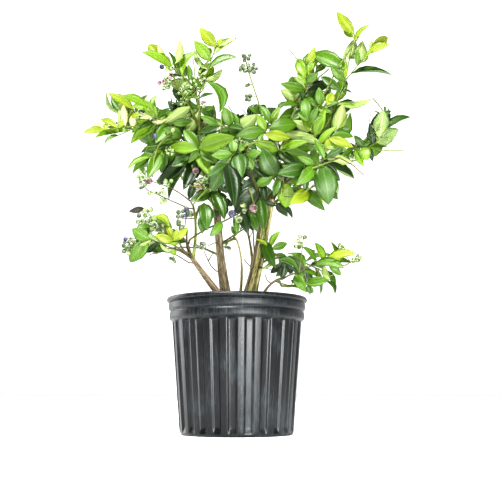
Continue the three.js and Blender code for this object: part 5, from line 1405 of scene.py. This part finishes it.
def wood_tree():
    """Skins curves with bark: fibres, shallow lumps and a flat end."""
    tree, node, given = start_tree("skin_wood", Sides="Int", Spacing="Float", Fibre="Float", Lumps="Float",
                                   Bark="Material")
    line = node("GeometryNodeResampleCurve", {"Curve": given["Geometry"], "Length": given["Spacing"]},
                mode="LENGTH")
    run = node("GeometryNodeSplineParameter", output="Length")
    line = node("GeometryNodeStoreNamedAttribute", {"Geometry": line, "Name": "run", "Value": run},
                data_type="FLOAT", domain="POINT")
    ring = node("GeometryNodeCurvePrimitiveCircle", {"Resolution": given["Sides"], "Radius": 1.0})
    turn = node("GeometryNodeSplineParameter", output="Factor")
    ring = node("GeometryNodeStoreNamedAttribute", {"Geometry": ring, "Name": "round", "Value": turn},
                data_type="FLOAT", domain="POINT")
    radius = node("GeometryNodeInputRadius")
    skin = node("GeometryNodeCurveToMesh", {"Curve": line, "Profile Curve": ring, "Scale": radius,
                                            "Fill Caps": True})
    run = node("GeometryNodeInputNamedAttribute", {"Name": "run"}, data_type="FLOAT")
    turn = node("GeometryNodeInputNamedAttribute", {"Name": "round"}, data_type="FLOAT")
    angle = node("ShaderNodeMath", {0: turn, 1: 2 * math.pi}, operation="MULTIPLY")
    around = []
    for axis in ("COSINE", "SINE"):
        part = node("ShaderNodeMath", {0: angle}, operation=axis)
        around.append(node("ShaderNodeMath", {0: part, 1: GRAIN_ROUND}, operation="MULTIPLY"))
    long = node("ShaderNodeMath", {0: run, 1: GRAIN_LONG}, operation="MULTIPLY")
    # each curve starts at its own place in the pattern
    index = node("GeometryNodeInputMeshIsland", output="Island Index")
    shift = node("ShaderNodeMath", {0: index, 1: 0.37, 2: long}, operation="MULTIPLY_ADD")
    grain = node("ShaderNodeCombineXYZ", {0: around[0], 1: around[1], 2: shift})
    skin = node("GeometryNodeStoreNamedAttribute", {"Geometry": skin, "Name": "grain", "Value": grain},
                data_type="FLOAT_VECTOR", domain="POINT")
    grain = node("GeometryNodeInputNamedAttribute", {"Name": "grain"}, data_type="FLOAT_VECTOR")
    fine = node("ShaderNodeTexNoise", {"Vector": grain, "Scale": 420.0, "Detail": 2.0})
    fine = node("ShaderNodeMath", {0: fine, 1: 0.5}, operation="SUBTRACT")
    fine = node("ShaderNodeMath", {0: fine, 1: given["Fibre"]}, operation="MULTIPLY")
    lump = node("ShaderNodeTexNoise", {"Vector": grain, "Scale": 90.0, "Detail": 1.0})
    lump = node("ShaderNodeMath", {0: lump, 1: 0.5}, operation="SUBTRACT")
    rise = node("ShaderNodeMath", {0: lump, 1: given["Lumps"], 2: fine}, operation="MULTIPLY_ADD")
    normal = node("GeometryNodeInputNormal")
    offset = node("ShaderNodeVectorMath", {0: normal, 3: rise}, operation="SCALE")
    skin = node("GeometryNodeSetPosition", {"Geometry": skin, "Offset": offset})
    skin = node("GeometryNodeSetShadeSmooth", {"Geometry": skin})
    skin = node("GeometryNodeRealizeInstances", {"Geometry": skin})
    skin = node("GeometryNodeSetMaterial", {"Geometry": skin, "Material": given["Bark"]})
    node("NodeGroupOutput", {"Geometry": skin}, output=None)
    return tree


skin_wood = wood_tree()

GREEN_BOUGHS = ["bough_left_rise", "bough_left_leader"]
WOOD = [
    ("canes_grey", bark_grey, "cane_bark", ["cane_main", "cane_back_left", "cane_back_right"]),
    ("canes_tan", bark_tan, "cane_bark", ["cane_left", "cane_brown", "cane_low"]),
    ("canes_olive", bark_olive, "cane_bark", ["cane_thin", "cane_olive", "cane_yellow"]),
    ("bough_green", bark_green, "green_bark", GREEN_BOUGHS),
    ("boughs", bough_bark_painted_shade, "green_bark", [name for name in fine_limbs
                                          if name.startswith("bough") and name not in GREEN_BOUGHS]),
]
for name, bark, slot, members in WOOD:
    source = curve_object(name + "_lines", [(fine_limbs[m]["line"], fine_limbs[m]["radii"]) for m in members])
    piece = grown_by(skin_wood, source, name, Sides=28, Spacing=0.003, Fibre=0.0016, Lumps=0.003, Bark=bark)
    put(piece, slot, *members)

green_twigs = [(twig["line"], twig["radii"]) for mass in masses for twig in mass.twigs]
green_twigs += [shoot for row, shoot in zip(SHOOTS, shoots) if row[0] not in BROWN_SHOOTS]
brown_twigs = [shoot for row, shoot in zip(SHOOTS, shoots) if row[0] in BROWN_SHOOTS]
for name, bark, members in (("twigs", bark_green, green_twigs), ("brown_twigs", bark_twig, brown_twigs)):
    piece = grown_by(skin_wood, curve_object(name + "_lines", members), name, Sides=6, Spacing=0.012,
                     Fibre=0.0, Lumps=0.0006, Bark=bark)
    put(piece, "foliage", *mass_nodes)

# ---------------------------------------------------------------- berries


def berry_shape(name, collection):
    """A unit berry with the five-lobed dry crown at its far end, +Z."""
    rings, sides = 6, 10
    vertices = [(0, 0, -1)]
    for r in range(1, rings):
        out, high = math.sin(math.pi * r / rings), -0.92 * math.cos(math.pi * r / rings)
        for s in range(sides):
            a = 2 * math.pi * s / sides
            vertices.append((out * math.cos(a), out * math.sin(a), high))
    vertices.append((0, 0, 0.66))
    faces = [(0, 1 + (s + 1) % sides, 1 + s) for s in range(sides)]
    faces += ring_faces(rings - 1, sides, 1)
    top = 1 + (rings - 2) * sides
    last = len(vertices) - 1
    faces += [(top + s, top + (s + 1) % sides, last) for s in range(sides)]
    crown_start = len(faces) - sides
    round_faces = len(faces)
    for k in range(5):
        a = 2 * math.pi * k / 5
        base = len(vertices)
        for turn, out, high in ((-0.35, 0.42, 0.8), (0.35, 0.42, 0.8), (0.0, 0.62, 1.02), (0.0, 0.3, 0.72)):
            vertices.append((out * math.cos(a + turn), out * math.sin(a + turn), high))
        faces += [(base, base + 1, base + 2), (base, base + 2, base + 3), (base + 1, base + 3, base + 2),
                  (base, base + 3, base + 1)]
    berry = mesh_object(name, vertices, faces, collection)
    second = [index >= crown_start for index in range(len(faces))]
    berry.data.attributes.new("second", "BOOLEAN", "FACE").data.foreach_set("value", second)
    for polygon in berry.data.polygons:
        polygon.use_smooth = polygon.index < round_faces


RACEME_TRIES = 12
BERRY_APART = 0.95
berry_pieces = bpy.data.collections.new("berry_pieces")
berry_shape("berry_round", berry_pieces)


def raceme(chance, carrier, share, middle, count, spread, size, tones):
    """A short stalk from a twig, with berries packed round its end without touching."""
    root = along(lines[carrier], share)
    middle = np.array(middle, float)
    run = middle - root
    berries, stalks = [], [(np.array((root, middle)), [0.8, 0.6])]
    for _ in range(count * RACEME_TRIES):
        if len(berries) == count:
            break
        offset = np.array([2 * chance() - 1 for _ in range(3)])
        radius = size * (0.82 + 0.36 * chance())
        luck = chance()
        if count == 1:
            offset, radius = offset * 0, size
        elif offset @ offset > 1:
            continue
        centre = middle + offset * spread
        if any(np.linalg.norm(centre - other["centre"]) < (radius + other["radius"]) * BERRY_APART
               for other in berries):
            continue
        stem = root + run * min(max(((centre - root) @ run) / (run @ run) - 0.15, 0.3), 1)
        out = unit(centre - stem + np.array((0, -0.01, 0.01)))
        if count > 1:
            stalks.append((np.array((stem, centre)), [0.6, 0.5]))
        tone = BERRY_CODES[tones[int(luck * len(tones))]]
        berries.append({"centre": centre, "out": out, "radius": radius, "tone": tone})
    return berries, stalks


berries = {tone: [] for tone in BERRY_TONES}
stalks = []
chance = dice(RACEME_SEED)
for row in RACEMES:
    found, thin = raceme(chance, *row)
    stalks += thin
    for berry in found:
        berries[berry["tone"]].append(berry)
for mass in masses:
    berries["green"] += mass.berries

for tone, group in berries.items():
    cloud = point_cloud(
        "berry_points_" + tone, [berry["centre"] * MM for berry in group],
        turn=("FLOAT_VECTOR", [Vector(berry["out"]).to_track_quat("Z", "Y").to_euler() for berry in group]),
        size=("FLOAT_VECTOR", [(berry["radius"] * MM,) * 3 for berry in group]),
        kind=("INT", [0] * len(group)))
    piece = grown_by(set_out, cloud, "berries_" + tone, Pieces=berry_pieces, First=BERRY_TONES[tone],
                     Second=berry_crown)
    put(piece, "foliage")
piece = grown_by(skin_wood, curve_object("stalk_lines", stalks), "berry_stalks", Sides=5, Spacing=0.01,
                 Fibre=0.0, Lumps=0.0, Bark=bark_green)
put(piece, "foliage")

# ---------------------------------------------------------------- pot and soil


def wall_radius(z):
    """Radius of the pot's tapered wall, over the ridges."""
    return BASE_RADIUS + (WALL_TOP_RADIUS - BASE_RADIUS) * z / WALL_TOP_Z


def rounded(corners, steps=4):
    """Profile with its corners softened: each (radius, z, flute share, corner size)."""
    out = []
    for i, (r, z, flute, soft) in enumerate(corners):
        if soft == 0 or i in (0, len(corners) - 1):
            out.append((r, z, flute))
            continue
        here = np.array((r, z, flute), float)
        back = np.array(corners[i - 1][:3], float) - here
        ahead = np.array(corners[i + 1][:3], float) - here
        back *= min(soft / max(math.hypot(back[0], back[1]), 1e-6), 0.48)
        ahead *= min(soft / max(math.hypot(ahead[0], ahead[1]), 1e-6), 0.48)
        for t in np.linspace(0, 1, steps):
            out.append(tuple(here + back * (1 - t) ** 2 + ahead * t ** 2))
    return out


def pot_piece():
    """The fluted wall, the plain rim above it and the rolled lip, as one thick shell."""
    inner = [wall_radius(z) - WALL_THICK for z in (14, 197, 206)]
    wall = [(wall_radius(z), z, 1, 0) for z in (20, 40, 70, 100, 130, 160, 180, 188)]
    corners = [
        (0, 0, 0, 0), (BASE_RADIUS - 4, 0, 0, 0), (BASE_RADIUS, 3.5, 0, 1.5), (wall_radius(8), 8, 0.4, 2),
        (wall_radius(14), 14, 0.9, 2), *wall, (wall_radius(198), 198, 1, 0), (wall_radius(203), 203, 0.9, 1),
        (wall_radius(205.5), 205.5, 0.1, 1), (125.0, 209.5, 0, 1.5), (125.7, 214, 0, 2), (125.4, 221, 0, 1.6),
        (123.4, 224.2, 0, 1.2), (126.8, 227.5, 0, 1.4), (127.4, 233, 0, 1), (127.3, 238.5, 0, 1),
        (125.8, 240.4, 0, 0.8), (130.6, 242.6, 0, 1.2), (131, 245.5, 0, 1.5), (129.4, 249, 0, 1.2),
        (126.4, 250, 0, 1.4), (122.0, 247.5, 0, 1.4), (inner[2], 206, 0, 0), (inner[1], 197, 1, 0),
        (inner[0], 14, 1, 0), (BASE_RADIUS - 6, FLOOR_THICK, 0, 0), (0, FLOOR_THICK, 0, 0),
    ]
    rows = rounded(corners)
    sides = FLUTES * FLUTE_SAMPLES
    start = math.radians(FLUTE_TURN - 90)
    vertices = []
    for r, z, flute in rows:
        for s in range(sides):
            place = (s / FLUTE_SAMPLES) % 1
            side = min(place, 1 - place)
            hollow = max(0.0, (side - RIDGE_SHARE) / (0.5 - RIDGE_SHARE))
            dip = FLUTE_DEPTH * flute * min(hollow / 0.4, 0.9 + 0.1 * hollow)
            angle = start + 2 * math.pi * s / sides
            out = max(r - dip, 0) * MM
            vertices.append((out * math.cos(angle), out * math.sin(angle), z * MM))
    piece = mesh_object("pot_body", vertices, ring_faces(len(rows), sides))
    merged = bmesh.new()
    merged.from_mesh(piece.data)
    bmesh.ops.remove_doubles(merged, verts=merged.verts, dist=1e-6)
    merged.to_mesh(piece.data)
    merged.free()
    piece.data.shade_smooth()
    piece.data.materials.append(pot_finish())
    return piece


put(pot_piece(), "pot_plastic", "pot")


def soil_piece():
    """Potting soil up to the planting level, its top heaped a little round the canes."""
    chance = np.random.default_rng(SOIL_SEED)
    clear = FLUTE_DEPTH + WALL_THICK + 2 * GAP
    shoulder = SOIL_TOP - 18
    edge = wall_radius(shoulder) - clear
    sides, rings = 96, 26
    rows = [(BASE_RADIUS - 11, FLOOR_THICK + GAP), (wall_radius(16) - clear, 16), (edge, shoulder),
            (edge - 1, SOIL_TOP - 4)]
    wall_rows = len(rows)
    rows += [(edge - 1 - (edge - 1) * k / rings, SOIL_TOP - 1) for k in range(1, rings)]
    vertices = []
    for k, (r, z) in enumerate(rows):
        for s in range(sides):
            angle = 2 * math.pi * s / sides
            high = z
            if k >= wall_rows:
                high += 1.6 * math.sin(r * 0.11 + 2 * angle) * math.sin(3 * angle + r * 0.05)
                high += chance.uniform(-1.1, 1.1) + (1.5 if r < 45 else 0)
            vertices.append((r * MM * math.cos(angle), r * MM * math.sin(angle), high * MM))
    faces = ring_faces(len(rows), sides)
    faces.append(tuple(range(sides - 1, -1, -1)))
    faces.append(tuple((len(rows) - 1) * sides + s for s in range(sides)))
    piece = mesh_object("soil_body", vertices, faces)
    piece.data.shade_smooth()
    piece.data.materials.append(soil_finish("moist_potting_mix", "#1C1210", "#4A302A"))
    return piece


put(soil_piece(), "potting_soil", "soil")


CRUMB_REACH = 108
CRUMB_SHAPES = 3


def crumb_shape(name, seed, collection):
    """A flat-sided lump of unit size."""
    chance = np.random.default_rng(seed)
    made = bmesh.new()
    bmesh.ops.create_icosphere(made, subdivisions=1, radius=1.0)
    for v in made.verts:
        v.co *= chance.uniform(0.65, 1.1)
        v.co.z *= 0.6
    mesh = bpy.data.meshes.new(name)
    made.to_mesh(mesh)
    made.free()
    collection.objects.link(bpy.data.objects.new(name, mesh))


def scatter_crumbs(name, count, least, most, finish, seed, pieces):
    """Crumbs of a range of sizes on the soil, as many as given."""
    chance = np.random.default_rng(seed)
    angle = chance.uniform(0, 2 * math.pi, count)
    radius = CRUMB_REACH * np.sqrt(chance.uniform(0.0, 1, count))
    high = SOIL_TOP + chance.uniform(-1.0, 2.2, count)
    places = np.stack((radius * np.cos(angle), radius * np.sin(angle), high), 1)
    size = chance.uniform(least, most, (count, 1)) * chance.uniform(0.7, 1.3, (count, 3))
    cloud = point_cloud(
        name + "_points", places * MM, turn=("FLOAT_VECTOR", chance.uniform(0, CIRCLE, (count, 3))),
        size=("FLOAT_VECTOR", size * MM), kind=("INT", chance.integers(0, CRUMB_SHAPES, count)))
    piece = grown_by(set_out, cloud, name, Pieces=pieces, First=finish, Second=finish)
    put(piece, "potting_soil")


crumbs = bpy.data.collections.new("crumbs")
for index in range(CRUMB_SHAPES):
    crumb_shape(f"crumb_{index}", 40 + index, crumbs)
compost = soil_finish("composted_bark_crumbs", "#24140F", "#5E3C2F")
scatter_crumbs("bark_crumbs", 1500, 1.2, 3.6, compost, BARK_SEED, crumbs)
perlite = start_material("expanded_perlite_grains", Base_Color=srgb("#D9D4CC"), Roughness=0.95)[0]
scatter_crumbs("perlite_grains", 70, 0.8, 1.8, perlite, PERLITE_SEED, crumbs)

# ---------------------------------------------------------------- floor and light

WALL_LIGHT = 1.05
ROOM_LIGHT = 0.16

floor = mesh_object("floor", [(-30, -30, 0), (30, -30, 0), (30, 30, 0), (-30, 30, 0)], [(0, 1, 2, 3)])
paper = start_material("matt_studio_paper", Base_Color=srgb("#F2F2F1"), Roughness=0.9,
                       Emission_Color=(1.0, 1.0, 1.0, 1.0), Emission_Strength=0.3)[0]
floor.data.materials.append(paper)

world = bpy.data.worlds.new("studio")
world.use_nodes = True
node = partial(add_node, world.node_tree)
# the studio wall behind the bush is the brightest, the room in front of it darker
wall = node("ShaderNodeTexCoord", output="Generated")
wall = node("ShaderNodeSeparateXYZ", {0: wall}, output=1)
wall = node("ShaderNodeMapRange", {"Value": wall, "From Min": 0.0, "From Max": 0.8, "To Min": ROOM_LIGHT,
                                   "To Max": WALL_LIGHT})
fill(world.node_tree.nodes["Background"], {"Color": (1.0, 1.0, 1.0, 1.0), "Strength": wall})
bpy.context.scene.world = world
bpy.context.scene.view_settings.view_transform = "Standard"
bpy.context.scene.view_settings.look = "High Contrast"


def soft_light(name, place, aim, size, power):
    """A rectangular lamp that isn't seen itself."""
    data = bpy.data.lights.new(name, "AREA")
    data.shape = "RECTANGLE"
    data.size, data.size_y = size
    data.energy = power
    lamp = bpy.data.objects.new(name, data)
    lamp.location = place
    lamp.visible_camera = False
    lamp.rotation_euler = (Vector(aim) - Vector(place)).to_track_quat("-Z", "Y").to_euler()
    bpy.context.scene.collection.objects.link(lamp)


soft_light("low_strip", (0.34, -0.95, 0.16), (0, 0, 0.12), (0.6, 0.3), 8.6)
soft_light("left_rim", (-1.6, 0.9, 0.7), (0, 0, 0.3), (0.7, 1.6), 14)
soft_light("top_box", (-0.5, -1.3, 2.0), (0, 0, 0.5), (0.6, 0.6), 54)
soft_light("back_box", (0, 3.4, 2.4), (0, 3.0, 0), (5.0, 1.6), 120)

for collection in (blades, berry_pieces, crumbs):
    for template in list(collection.objects):
        bpy.data.objects.remove(template)
    bpy.data.collections.remove(collection)
